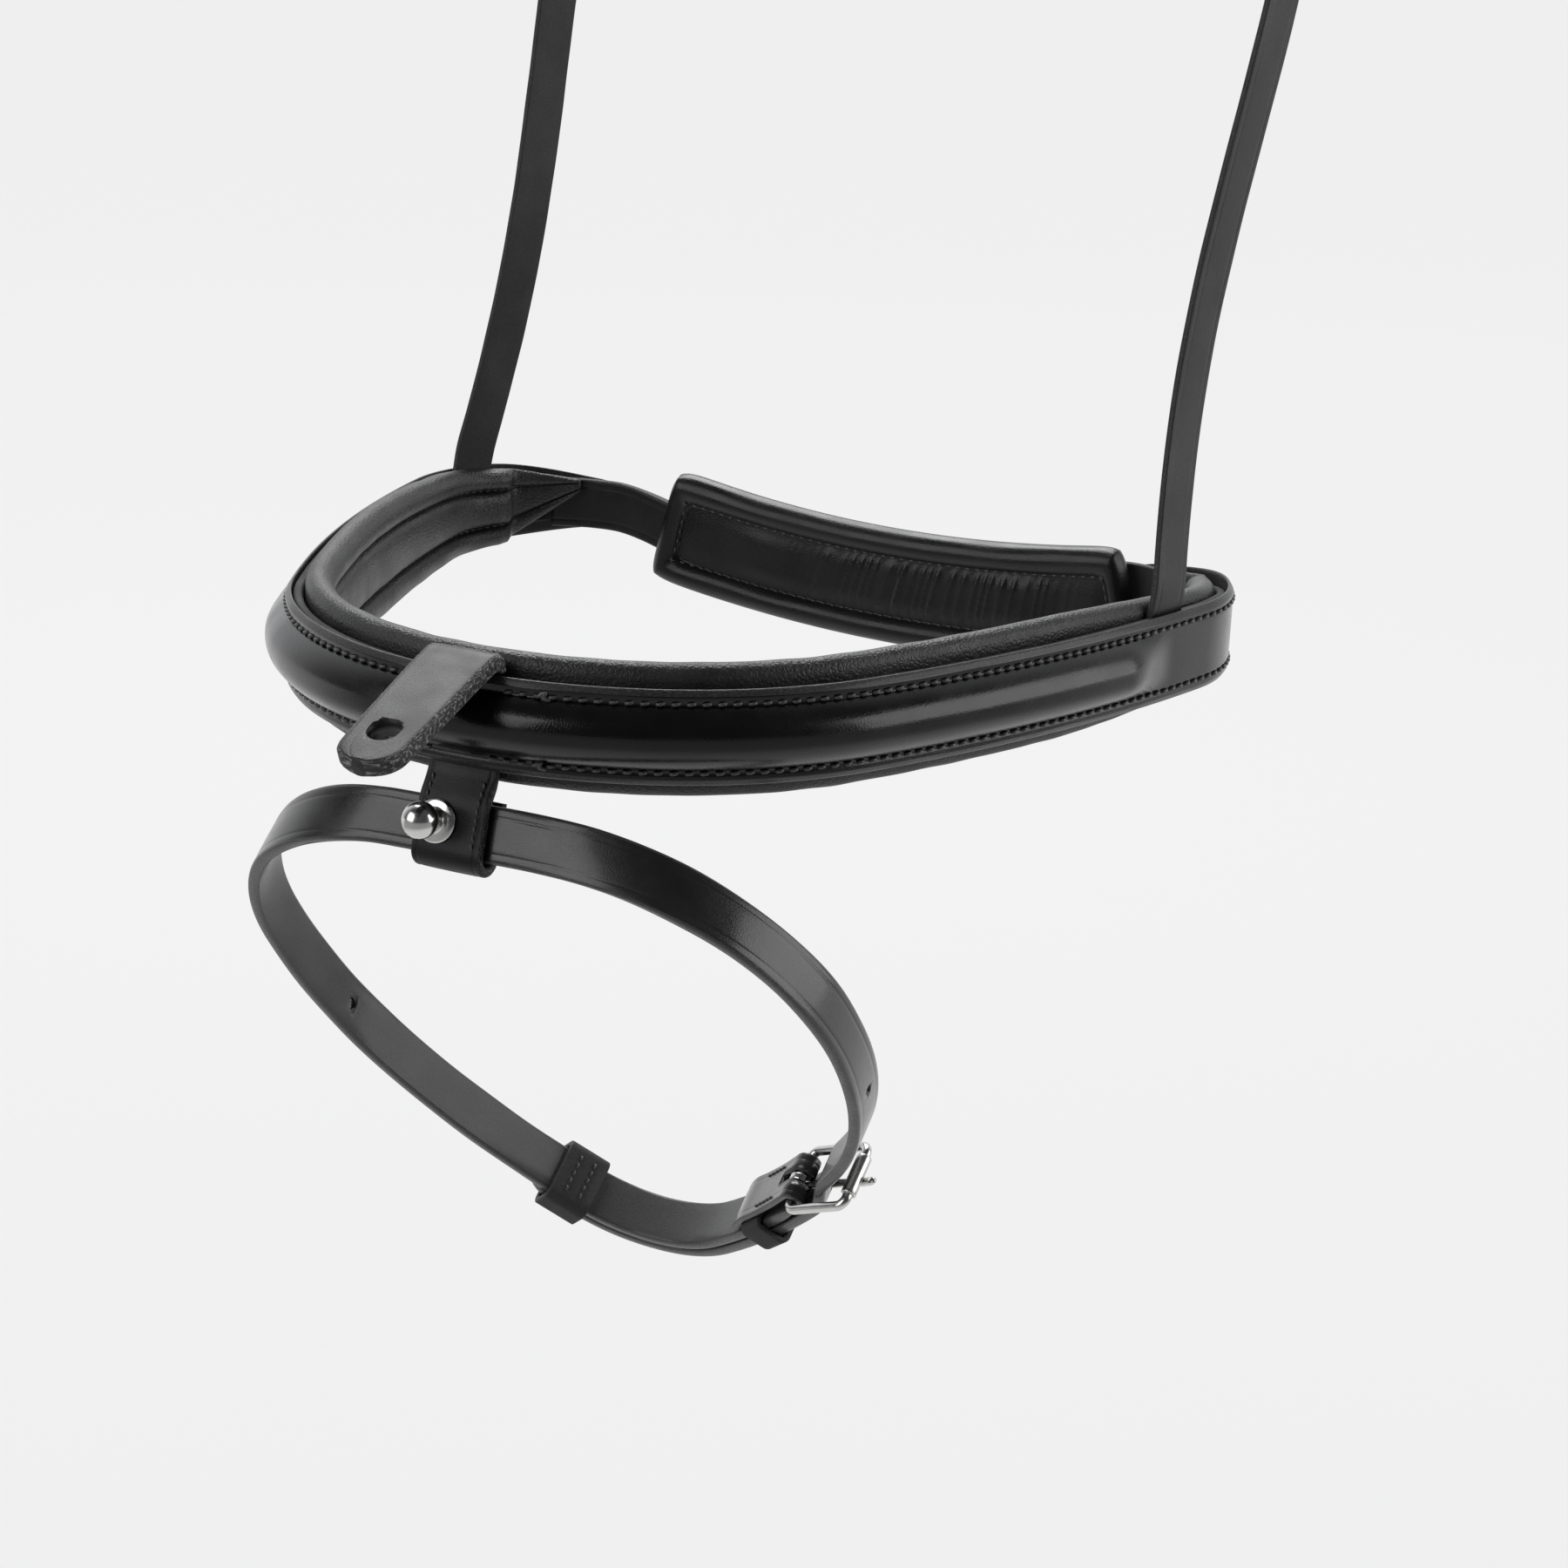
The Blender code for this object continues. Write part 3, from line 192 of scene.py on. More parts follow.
class Curve:
    """A flat curve of arcs and straights, each a length and a turn in degrees."""

    def __init__(self, start, pieces):
        lengths, bends = np.array(pieces, float).T
        self.bends = np.radians(bends) / lengths
        self.starts = np.concatenate([[0.0], np.cumsum(lengths)])
        self.length = self.starts[-1]
        self.heads = np.concatenate([[0.0], np.cumsum(np.radians(bends))])
        steps = self.chord(self.heads[:-1], lengths, self.bends)
        self.places = np.array(start) + np.vstack([[0.0, 0.0], np.cumsum(steps, axis=0)])

    @staticmethod
    def chord(head, d, bend):
        """The straight step to a place d along an arc: d sinc(kd/2) at the middle heading."""
        run = d * np.sinc(bend * d / (2 * math.pi))
        return np.stack([run * np.cos(head + bend * d / 2), run * np.sin(head + bend * d / 2)], -1)

    def at(self, s):
        """Places and headings at s."""
        i = np.clip(np.searchsorted(self.starts, s, side="right") - 1, 0, len(self.bends) - 1)
        d = s - self.starts[i]
        return (self.places[i] + self.chord(self.heads[i], d, self.bends[i]),
                self.heads[i] + self.bends[i] * d)


HALF_HOOP = Curve((0.0, -NOSE_DEPTH), [(FRONT_ARC, FRONT_TURN), (SIDE_ARC, SIDE_TURN),
                                       (CORNER_ARC, 180.0 - FRONT_TURN - SIDE_TURN)])
BACK_HALF, BACK_Y = HALF_HOOP.places[-1]
CORNER_END = HALF_HOOP.length
LEATHER_REACH = CORNER_END + 0.5
PADDING_REACH = CORNER_END - 13.5
BACKING_REACH = CORNER_END - 22.5
RING_FRONT = CORNER_END + 10.5
RING_REAR = RING_FRONT + 14.0
RING_N = (CHIN_N + OUTER_N) / 2


def hoop(s):
    """Places, outward normals and travel directions of the noseband at s."""
    s = np.asarray(s, float)
    side, d = np.where(s >= 0, 1.0, -1.0), np.abs(s)
    place, head = HALF_HOOP.at(np.minimum(d, CORNER_END))
    past = np.maximum(d - CORNER_END, 0.0)
    zero = np.zeros(s.shape)
    return (np.stack([side * (place[..., 0] - past), place[..., 1], zero], -1),
            np.stack([side * np.sin(head), -np.cos(head), zero], -1),
            np.stack([np.cos(head), side * np.sin(head), zero], -1))


def on_hoop(s, n, z):
    """Places on the noseband: s along it, n outwards and z up."""
    place, normal, _ = hoop(s)
    place, normal = (np.expand_dims(a, 1) if np.ndim(n) == 2 else a for a in (place, normal))
    up = np.broadcast_to(np.asarray(z, float), np.shape(n) or np.shape(s))
    return place + normal * np.asarray(n)[..., None] + up[..., None] * UP


def back_x(s):
    """The X of a place s on the straight back, near side."""
    return BACK_HALF - (s - CORNER_END)


def dip(x):
    """How far the back strap hangs below the straight line between its ends, as the pad does."""
    return BACK_DIP * smooth((BACK_HALF + 4.0 - np.abs(x)) / DIP_RUN)


def dipped(centres):
    """Places on the back strap, lowered by its dip."""
    return centres - dip(centres[:, :1]) * UP


# Meshes
def linked(name, data):
    """A new object in the scene."""
    ob = bpy.data.objects.new(name, data)
    bpy.context.scene.collection.objects.link(ob)
    return ob


def surface(name, verts, faces, mat, body, nodes=(), uv=None):
    """A finished piece from places in mm, faces and, where given, a UV pair per face corner."""
    mesh = bpy.data.meshes.new(name)
    mesh.from_pydata(((verts - HANG_POINT) * METRE).tolist(), [], faces)
    if uv is not None:
        layer = mesh.uv_layers.new(name="along")
        layer.data.foreach_set("uv", np.asarray(uv, np.float32).ravel())
    bm = bmesh.new()
    bm.from_mesh(mesh)
    bmesh.ops.remove_doubles(bm, verts=bm.verts[:], dist=1e-6)
    bmesh.ops.recalc_face_normals(bm, faces=bm.faces[:])
    bm.to_mesh(mesh)
    bm.free()
    mesh.polygons.foreach_set("use_smooth", [True] * len(mesh.polygons))
    mesh.materials.append(mat)
    ob = linked(name, mesh)
    if body:
        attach(ob, body)
        if nodes:
            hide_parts(*nodes)
    return ob


def quads(rows, columns, close_rows=False, close_columns=True):
    """Corner numbers of the faces of a grid, and each corner's row and column before wrapping."""
    i, j = np.meshgrid(np.arange(rows if close_rows else rows - 1),
                       np.arange(columns if close_columns else columns - 1), indexing="ij")
    r = np.stack([i, i, i + 1, i + 1], -1).reshape(-1, 4)
    c = np.stack([j, j + 1, j + 1, j], -1).reshape(-1, 4)
    return (r % rows) * columns + c % columns, r, c


def swept(name, rings, mat, body, nodes=(), closed=False, along=None, codes=None):
    """A surface through rings of places; open ones are capped.  UV is (metres along, code round)."""
    rows, columns = rings.shape[:2]
    index, r, c = quads(rows, columns, closed)
    uv = None
    if along is not None:
        along = np.append(along, 2 * along[-1] - along[-2])
        codes = np.append(codes, 4.0)
        uv = np.stack([along[r] * METRE, codes[c]], -1).reshape(-1, 2)
    faces = index.tolist()
    if not closed:
        first, last = list(range(columns)), list(range((rows - 1) * columns, rows * columns))
        faces += [first[::-1], last]
        if uv is not None:
            ends = [np.stack([np.full(columns, a * METRE), np.full(columns, 1.5)], -1)
                    for a in (along[0], along[rows - 1])]
            uv = np.vstack([uv, *ends])
    return surface(name, rings.reshape(-1, 3), faces, mat, body, nodes, uv)


# A section runs round its strap: grain face (code 0 to 1), edge (to 2), flesh face (to 3), edge (to 4)
FACE_SHARES = np.array([0.45, 0.2, 0.0])
FLESH_SHARES = np.array([-1.0, -0.5, 0.0, 0.5, 1.0])
EDGE_TURNS = np.radians([18.0, 45.0, 72.0, 108.0, 135.0, 162.0])
CREASE_SHARES = np.array([0.0, 0.3, 0.62, 0.8, 1.0, 1.2, 1.38, 1.8])


def section_codes(face, edge, flesh, inset):
    """Codes for so many places on the face, each edge and the back; an edge's stay inset off its ends."""
    return np.concatenate([np.linspace(0, 1, face), np.linspace(1 + inset, 2 - inset, edge),
                           np.linspace(2, 3, flesh), np.linspace(3 + inset, 4 - inset, edge)])


def strap_section(width, thick, crease=CREASE_INSET, depth=CREASE_DEPTH, round_share=0.3, crown=0.10):
    """Across and outward places round a strap, a row for each ring.

    The grain face is slightly crowned, with a creased line that far in from each edge:
    out = half thickness + crown (1 - x^2) - depth exp(-((edge distance - crease) / 0.22)^2).
    """
    half, low = width[:, None] / 2, thick[:, None] / 2
    r = low * 2 * round_share
    near = CREASE_SHARES * crease
    squeeze = np.minimum(1.0, (half - r) / (near[-1] * 1.5))
    in_from_edge = r + near * squeeze
    face = np.hstack([half - in_from_edge, (half - in_from_edge[:, -1:]) * FACE_SHARES])
    face = np.hstack([face, -face[:, -2::-1]])
    out = low + crown * (1 - (face / half) ** 2) - depth * bell(
        half - np.abs(face) - r - crease * squeeze, 0.22 * squeeze + 0.02)
    flesh = (half - r) * FLESH_SHARES
    corner_x = half - r + r * np.sin(EDGE_TURNS)
    corner_y = np.where(EDGE_TURNS < math.pi / 2, low - r, r - low) + r * np.cos(EDGE_TURNS)
    across = np.hstack([face, -corner_x, flesh, corner_x[:, ::-1]])
    outward = np.hstack([out, corner_y, -low + 0 * flesh, corner_y[:, ::-1]])
    return across, outward, section_codes(face.shape[1], len(EDGE_TURNS), len(FLESH_SHARES), 0.15)


def carried(centres, sides, across, outward, closed=False):
    """Sections set square to a path, their outward side along (travel x side)."""
    if closed:
        along = unit(np.roll(centres, -1, 0) - np.roll(centres, 1, 0))
    else:
        along = unit(np.gradient(centres, axis=0))
    faces = unit(np.cross(along, sides))
    sides = unit(np.cross(faces, along))
    return (centres[:, None] + sides[:, None] * across[..., None]
            + faces[:, None] * outward[..., None])


def row(place, side, width, thick):
    """Rows of a place, side, width and thickness, one for each place."""
    place = np.atleast_2d(place)
    count = len(place)
    return np.hstack([place, np.broadcast_to(side, (count, 3)),
                      np.broadcast_to(np.asarray(width, float), count)[:, None],
                      np.broadcast_to(np.asarray(thick, float), count)[:, None]])


def through(knots, step):
    """Rows on a smooth path through knots, at most step apart, and how far along each one is."""
    s = travelled(knots[:, :3])
    slope = np.gradient(knots, s, axis=0)
    at = spaced(0, s[-1], step)
    i = np.clip(np.searchsorted(s, at, side="right") - 1, 0, len(s) - 2)
    h = (s[i + 1] - s[i])[:, None]
    t = (at - s[i])[:, None] / h
    return cubic(t, knots[i], knots[i + 1], h * slope[i], h * slope[i + 1]), at


def strap(node, path, mat, body, closed=False, seed=1, **section):
    """A strap in place of a node; path is rows (place, side, width, thickness) and distances along."""
    rows, at = path[0].copy(), path[1]
    if not closed:
        rows[:, 6] += wander(at, 0.1, 23.0, seed)
    across, outward, codes = strap_section(rows[:, 6], rows[:, 7], **section)
    rings = carried(rows[:, :3], rows[:, 3:6], across, outward, closed)
    return swept(node + "_dressed", rings, mat, body, [node], closed, at, codes)


def cut(ob, cutters):
    """Take cutters out of a piece for good."""
    for cutter in cutters:
        mod = ob.modifiers.new("cut", "BOOLEAN")
        mod.operation = "DIFFERENCE"
        mod.solver = "EXACT"
        mod.object = cutter
    bpy.context.view_layer.update()
    mesh = bpy.data.meshes.new_from_object(ob.evaluated_get(bpy.context.evaluated_depsgraph_get()))
    ob.modifiers.clear()
    ob.data = mesh
    for cutter in cutters:
        bpy.data.objects.remove(cutter)


def block_cutter(centre, axes, sizes):
    """A box for cutting, with its own axes."""
    corners = np.array([[a, b, c] for a in (-0.5, 0.5) for b in (-0.5, 0.5) for c in (-0.5, 0.5)])
    faces = [[0, 1, 3, 2], [4, 6, 7, 5], [0, 4, 5, 1], [2, 3, 7, 6], [0, 2, 6, 4], [1, 5, 7, 3]]
    verts = np.asarray(centre) + (corners * sizes) @ np.asarray(axes, float)
    return surface("cutter", verts, faces, DARK_EDGE, None)


def around(axis, hint, count):
    """Directions evenly round an axis; hint is any direction off it."""
    side = unit(np.cross(axis, hint))
    a = np.linspace(0, 2 * math.pi, count, endpoint=False)[:, None]
    return np.cos(a) * side + np.sin(a) * np.cross(axis, side)


def round_cutter(centre, axis, radius, length, segments=40):
    """A round bar for cutting."""
    axis = unit(axis)
    ring = radius * around(axis, [0.0, 0.31, 0.95], segments)
    rings = np.stack([centre + axis * d + ring for d in (-length / 2, length / 2)])
    return swept("cutter", rings, DARK_EDGE, None)


def strap_hole(centre, axis):
    """The cutter of a punched buckle hole."""
    return round_cutter(centre, axis, STRAP_HOLE / 2, 8.0, 28)


def spun(node, centre, axis, outline, mat, body, segments, closed=False):
    """A turned piece in place of a node, from (distance along the axis, radius) points."""
    axis = unit(axis)
    outline = np.asarray(outline, float)
    ring = around(axis, [0.29, 0.31, 0.95], segments)
    rings = centre + outline[:, :1, None] * axis + outline[:, 1:, None] * ring
    faces = quads(len(outline), segments, closed)[0]
    surface(node + "_dressed", rings.reshape(-1, 3), faces.tolist(), mat, body, [node])


def stitches(name, places, along, out, body, slot, long=PITCH * 0.72, thread=THREAD, slant=0.0):
    """Threads lying on leather: each a short bowed rod that dips in at both ends.

    With t from -1 to 1 along a stitch, the middle line is t long / 2 along and
    thread (0.42 - 0.85 t^4) outwards, and the section is a circle that narrows towards the ends.
    """
    along, out = (unit(np.broadcast_to(way, places.shape)) for way in (along, out))
    side = unit(np.cross(out, along))
    along = unit(along + side * np.reshape(slant, (-1, 1)))
    side = unit(np.cross(out, along))
    t = np.array([-1.0, -0.72, -0.3, 0.3, 0.72, 1.0])
    a = np.linspace(0, 2 * math.pi, 6, endpoint=False)
    thick = thread / 2 * np.sqrt(np.clip(1.12 - t ** 4, 0, 1))
    middle = thread * (0.42 - 0.85 * t ** 4)
    x = np.broadcast_to((t * long / 2)[:, None], (6, 6))
    y = thick[:, None] * np.cos(a)
    z = middle[:, None] + thick[:, None] * np.sin(a)
    shape = np.stack([x, y, z], -1).reshape(-1, 3)
    verts = (places[:, None] + shape[None, :, :1] * along[:, None]
             + shape[None, :, 1:2] * side[:, None] + shape[None, :, 2:] * out[:, None])
    ends = np.array([[0, 5, 4, 3], [0, 3, 2, 1], [30, 31, 32, 33], [30, 33, 34, 35]])
    one = np.vstack([quads(6, 6)[0], ends])
    faces = (one[None] + 36 * np.arange(len(places))[:, None, None]).reshape(-1, 4)
    surface(name, verts.reshape(-1, 3), faces.tolist(), THREAD_BLACK, body, (), None)


# Materials
def add(tree, kind, sockets=None, **settings):
    """A node with its settings, and its sockets linked or set."""
    n = tree.nodes.new(kind)
    for key, value in settings.items():
        setattr(n, key, value)
    for key, value in (sockets or {}).items():
        if isinstance(value, bpy.types.NodeSocket):
            tree.links.new(value, n.inputs[key])
        else:
            n.inputs[key].default_value = value
    return n


def calc(tree, operation, a, b, clamp=False):
    """The result of one sum on two values."""
    return add(tree, "ShaderNodeMath", {0: a, 1: b}, operation=operation, use_clamp=clamp).outputs[0]


def plus(tree, a, b, clamp=False):
    """a + b."""
    return calc(tree, "ADD", a, b, clamp)


def times(tree, a, b):
    """a times b."""
    return calc(tree, "MULTIPLY", a, b)


def band(tree, value, low, high, to_low=0.0, to_high=1.0):
    """A soft change from to_low to to_high while value goes from low to high."""
    return add(tree, "ShaderNodeMapRange",
               {"Value": value, "From Min": low, "From Max": high, "To Min": to_low, "To Max": to_high},
               interpolation_type="SMOOTHSTEP").outputs[0]


def within(tree, value, a, b, c, d):
    """1 between b and c, 0 below a and above d, and soft in between."""
    return times(tree, band(tree, value, a, b), band(tree, value, c, d, 1.0, 0.0))


def noise(tree, where, scale, detail, rough=0.5):
    """Cloudy unevenness from 0 to 1."""
    return add(tree, "ShaderNodeTexNoise", {"Vector": where, "Scale": scale, "Detail": detail,
                                            "Roughness": rough}).outputs["Fac"]


def stretched(tree, where, scales, detail, rough):
    """Unevenness with a scale for each direction."""
    place = add(tree, "ShaderNodeVectorMath", {0: where, 1: scales}, operation="MULTIPLY")
    return noise(tree, place.outputs[0], 1.0, detail, rough)


def mix(tree, share, a, b):
    """A colour between a and b."""
    return add(tree, "ShaderNodeMix", {"Factor": share, 6: a, 7: b}, data_type="RGBA").outputs[2]


def grey(value):
    """A neutral colour."""
    return (value, value, value, 1.0)


def begun(name, sockets):
    """A new material with those shader sockets set, its tree, and places on its object."""
    mat = bpy.data.materials.new(name)
    mat.use_nodes = True
    tree = mat.node_tree
    for socket, value in sockets.items():
        tree.nodes["Principled BSDF"].inputs[socket].default_value = value
    return mat, tree, add(tree, "ShaderNodeTexCoord").outputs["Object"]


def finished(mat, colour, rough, height, strength, distance):
    """The material, with its colour, roughness and bumps linked."""
    tree = mat.node_tree
    bump = add(tree, "ShaderNodeBump", {"Height": height, "Strength": strength, "Distance": distance})
    for socket, value in (("Base Color", colour), ("Roughness", rough), ("Normal", bump.outputs[0])):
        tree.links.new(value, tree.nodes["Principled BSDF"].inputs[socket])
    return mat


def leather(name, face, shine, grain, grain_depth, coat, flesh=0.03, sided=True, creases=0.3,
            level=0.35, fuzz=0.25, fleck=0.16):
    """Black leather: pebbled grain, faint creases and uneven wax.

    Sided pieces have a rough flesh side, and cut edges with fluff: fuzz is its share, fleck its colour.
    """
    mat, tree, where = begun(name, {"Coat Weight": coat, "Coat Roughness": 0.16, "Specular IOR Level": level})
    pores = add(tree, "ShaderNodeTexVoronoi", {"Vector": where, "Scale": grain},
                feature="DISTANCE_TO_EDGE").outputs["Distance"]
    cloud = noise(tree, where, 90.0, 4.0)
    fine = noise(tree, where, 2600.0, 2.0)
    creased = noise(tree, where, 320.0, 5.0, 0.65)
    height = plus(tree, times(tree, band(tree, pores, 0.0, 0.32), grain_depth),
                  plus(tree, times(tree, creased, creases), times(tree, fine, 0.12)))
    colour = mix(tree, band(tree, cloud, 0.3, 0.7), grey(face * 0.75), grey(face * 1.3))
    rough = band(tree, cloud, 0.25, 0.75, shine - 0.05, shine + 0.09)
    if sided:
        code = add(tree, "ShaderNodeUVMap", uv_map="along").outputs[0]
        round_it = add(tree, "ShaderNodeSeparateXYZ", {0: code}).outputs[1]
        on_edge = plus(tree, within(tree, round_it, 1.05, 1.2, 1.8, 1.98),
                       within(tree, round_it, 3.02, 3.2, 3.8, 3.95), True)
        on_flesh = within(tree, round_it, 1.8, 1.98, 3.02, 3.2)
        fibres = noise(tree, where, 1500.0, 5.0, 0.7)
        layered = stretched(tree, code, (260.0, 9.0, 0.0), 4.0, 0.7)
        fluff = stretched(tree, code, (1100.0, 13.0, 0.0), 3.0, 0.7)
        flecks = times(tree, band(tree, fluff, 0.48, 0.66), fuzz)
        cut_edge = mix(tree, layered, grey(flesh * 0.35), grey(flesh * 1.25))
        colour = mix(tree, on_flesh, colour, mix(tree, fibres, grey(flesh * 0.55), grey(flesh * 1.5)))
        colour = mix(tree, on_edge, colour, mix(tree, flecks, cut_edge, grey(fleck)))
        rough = plus(tree, rough, times(tree, on_flesh, 0.42))
        rough = plus(tree, rough, times(tree, on_edge, 0.22), True)
        height = plus(tree, height, times(tree, times(tree, on_flesh, fibres), 1.3))
        nap = plus(tree, layered, times(tree, flecks, 2.0))
        height = plus(tree, height, times(tree, times(tree, on_edge, nap), 1.1))
    return finished(mat, colour, rough, height, 0.35, 0.00022)


def steel(name, shine):
    """Polished stainless steel with faint wiping marks and a trace of handling."""
    mat, tree, where = begun(name, {"Metallic": 1.0})
    smear = noise(tree, where, 420.0, 4.0, 0.6)
    wiped = stretched(tree, where, (900.0, 5200.0, 2400.0), 3.0, 0.5)
    colour = mix(tree, smear, (0.58, 0.575, 0.565, 1), (0.74, 0.735, 0.72, 1))
    rough = band(tree, smear, 0.3, 0.75, shine, shine + 0.12)
    return finished(mat, colour, rough, wiped, 0.02, 0.0001)


def waxed_thread():
    """Black waxed linen thread: slightly furry, with a soft sheen."""
    mat, tree, where = begun("waxed_thread", {"Sheen Weight": 0.12, "Sheen Roughness": 0.4,
                                              "Coat Weight": 0.35, "Coat Roughness": 0.2})
    strands = noise(tree, where, 3600.0, 3.0, 0.6)
    return finished(mat, mix(tree, strands, grey(0.025), grey(0.13)),
                    band(tree, strands, 0.3, 0.7, 0.24, 0.4), strands, 0.6, 0.00015)


# name, face, shine, grain, grain_depth, coat
OUTER_LEATHER = leather("outer_leather", 0.003, 0.22, 1250.0, 0.22, 0.35, creases=0.25)
PADDING_LEATHER = leather("padding_leather", 0.021, 0.44, 900.0, 1.1, 0.0, sided=False, creases=0.5,
                          level=0.55)
PAD_LEATHER = leather("jaw_pad_leather", 0.009, 0.34, 1150.0, 0.3, 0.15, sided=False)
STRAP_LEATHER = leather("strap_leather", 0.011, 0.38, 1700.0, 0.2, 0.1, flesh=0.05, fuzz=0.4)
FLASH_LEATHER = leather("flash_leather", 0.02, 0.27, 1700.0, 0.2, 0.5, flesh=0.07, level=0.5, fuzz=0.5)
TAB_LEATHER = leather("tab_leather", 0.0115, 0.46, 1500.0, 0.2, 0.1, flesh=0.05, creases=0.2, fuzz=1.0,
                      fleck=0.45)
LOOP_LEATHER = leather("loop_leather", 0.0035, 0.4, 1400.0, 0.3, 0.05, level=0.28, fuzz=0.9, fleck=0.22)
DARK_EDGE = leather("inner_leather", 0.014, 0.62, 1500.0, 0.5, 0.0, sided=False, creases=0.8)
DARK_STRAP = leather("backing_leather", 0.008, 0.45, 1500.0, 0.3, 0.0, flesh=0.02)
THREAD_BLACK = waxed_thread()
STEEL = steel("polished_steel", 0.13)
ROLLER_STEEL = steel("roller_steel", 0.17)


# Nosepiece
def past_end(s, reach, length):
    """The share that s is into the last length before reach, below 0 outside it."""
    return (np.abs(s) - reach) / length + 1.0


def leather_half(s):
    """Half the height of the outer leather at s."""
    taper = smooth(past_end(s, LEATHER_REACH, END_TAPER))
    half = (LEATHER_HEIGHT + (LEATHER_TIP_HEIGHT - LEATHER_HEIGHT) * taper) / 2
    return half * tip_share(past_end(s, LEATHER_REACH, END_ROUND), least=0.3)


def raised(s):
    """How much of the raised centre there is at s."""
    return 1.0 - smooth(past_end(s, RAISE_REACH, RAISE_FADE))


def shrunk(half):
    """The share of its size that a margin or a rim keeps where the leather is narrow."""
    return np.minimum(1.0, half / NARROW_HALF)


def leather_top(s, z):
    """How far out the face of the outer leather is at s and z.

    A flat margin with a creased line near its edge, a shallow groove that the stitching pulls
    down, and a roll between: height 1 - x^2.3 over its half width.
    """
    half, up = leather_half(s), raised(s)
    x = np.clip(np.abs(z) / (half - MARGIN * shrunk(half)), 0, 1)
    roll = (1 - x ** ROLL_POWER) * (RAISE_HEIGHT + 0.2 * up)
    from_seam = np.abs(z) - half + STITCH_INSET
    groove = 0.22 * bell(from_seam, 0.7) * up
    seam = 0.25 * bell(from_seam, 0.6) * (1 - up)
    crease = 0.03 * bell(half - np.abs(z) - 2.0, 0.2)
    uneven = wander(s, 0.05, 31.0, 3) * x
    return LEATHER_BACK + LEATHER_THICK + roll * up - groove - seam - crease + uneven


# The outer leather's rim: (mm from the edge, share of its thickness), a bevel from its face to its back
RIM = np.array([(1.3, 0.90), (0.9, 0.74), (0.5, 0.58), (0.18, 0.43), (0.03, 0.30), (0.03, 0.18),
                (0.16, 0.07), (0.45, 0.01), (1.0, 0.0)])
# The places on its flat margin, in mm from the edge
MARGIN_PLACES = np.array([EDGE_ROUND, 1.75, 1.9, 2.1, 2.3, 2.5, 2.75, 3.0, 3.2, 3.4])


def nosepiece_leather():
    """The outer leather: a closed skin over the roll, bevelled at its edges."""
    tip = LEATHER_REACH - tip_places(END_ROUND, 0.15, 10)
    body = spaced(-LEATHER_REACH + END_ROUND, LEATHER_REACH - END_ROUND, 1.3)
    s = np.concatenate([-tip[::-1], body, tip])[:, None]
    half = leather_half(s)
    share = shrunk(half)
    inner = half - MARGIN * share
    dome = np.cos(np.linspace(0.03, math.pi / 2, 17))
    z = np.hstack([half - MARGIN_PLACES * share, inner * dome])
    z = np.hstack([z, -z[:, -2::-1]])
    rim_z = half - RIM[:, 0] * share
    rim_n = LEATHER_BACK + LEATHER_THICK * RIM[:, 1] + 0 * s
    under = z[:, ::-1][:, ::4]
    hollow = np.clip(1 - (np.abs(under) / inner) ** ROLL_POWER, 0, 1) * (RAISE_HEIGHT - 0.3) * raised(s)
    rings_n = np.hstack([leather_top(s, z), rim_n, LEATHER_BACK + hollow, rim_n[:, ::-1]])
    rings_z = np.hstack([z, -rim_z, under, rim_z[:, ::-1]])
    swept("nosepiece_leather_dressed", on_hoop(s[:, 0], rings_n, rings_z), OUTER_LEATHER, "noseband",
          ["nosepiece_leather"], along=s[:, 0],
          codes=section_codes(z.shape[1], len(RIM), under.shape[1], 0.2))


def nosepiece_backing():
    """The flat layer between leather and padding, narrower by the tab and pointed at its ends."""
    s = spaced(-BACKING_REACH, BACKING_REACH, 2.0)
    tip = smooth(past_end(s, BACKING_REACH, END_TAPER))
    by_tab = 1 - smooth((np.abs(s) - TAB_WIDTH / 2 - 3.0) / 6.0)
    height = 2 * (leather_half(s) - BACKING_INSET - BACKING_CLEAR * by_tab) * (1 - 0.35 * tip)
    strap("nosepiece_backing", (row(hoop(s)[0], UP, height, BACKING_THICK), s), DARK_STRAP, "noseband",
          seed=51, depth=0.0, round_share=0.35, crown=0.0)


# The threads of a knot: how far along, how far up, and slant
KNOT = ((-0.7, 0.3, 0.5), (0.5, -0.4, -0.4), (0.1, 0.1, 2.2), (-0.2, 0.0, -1.3))


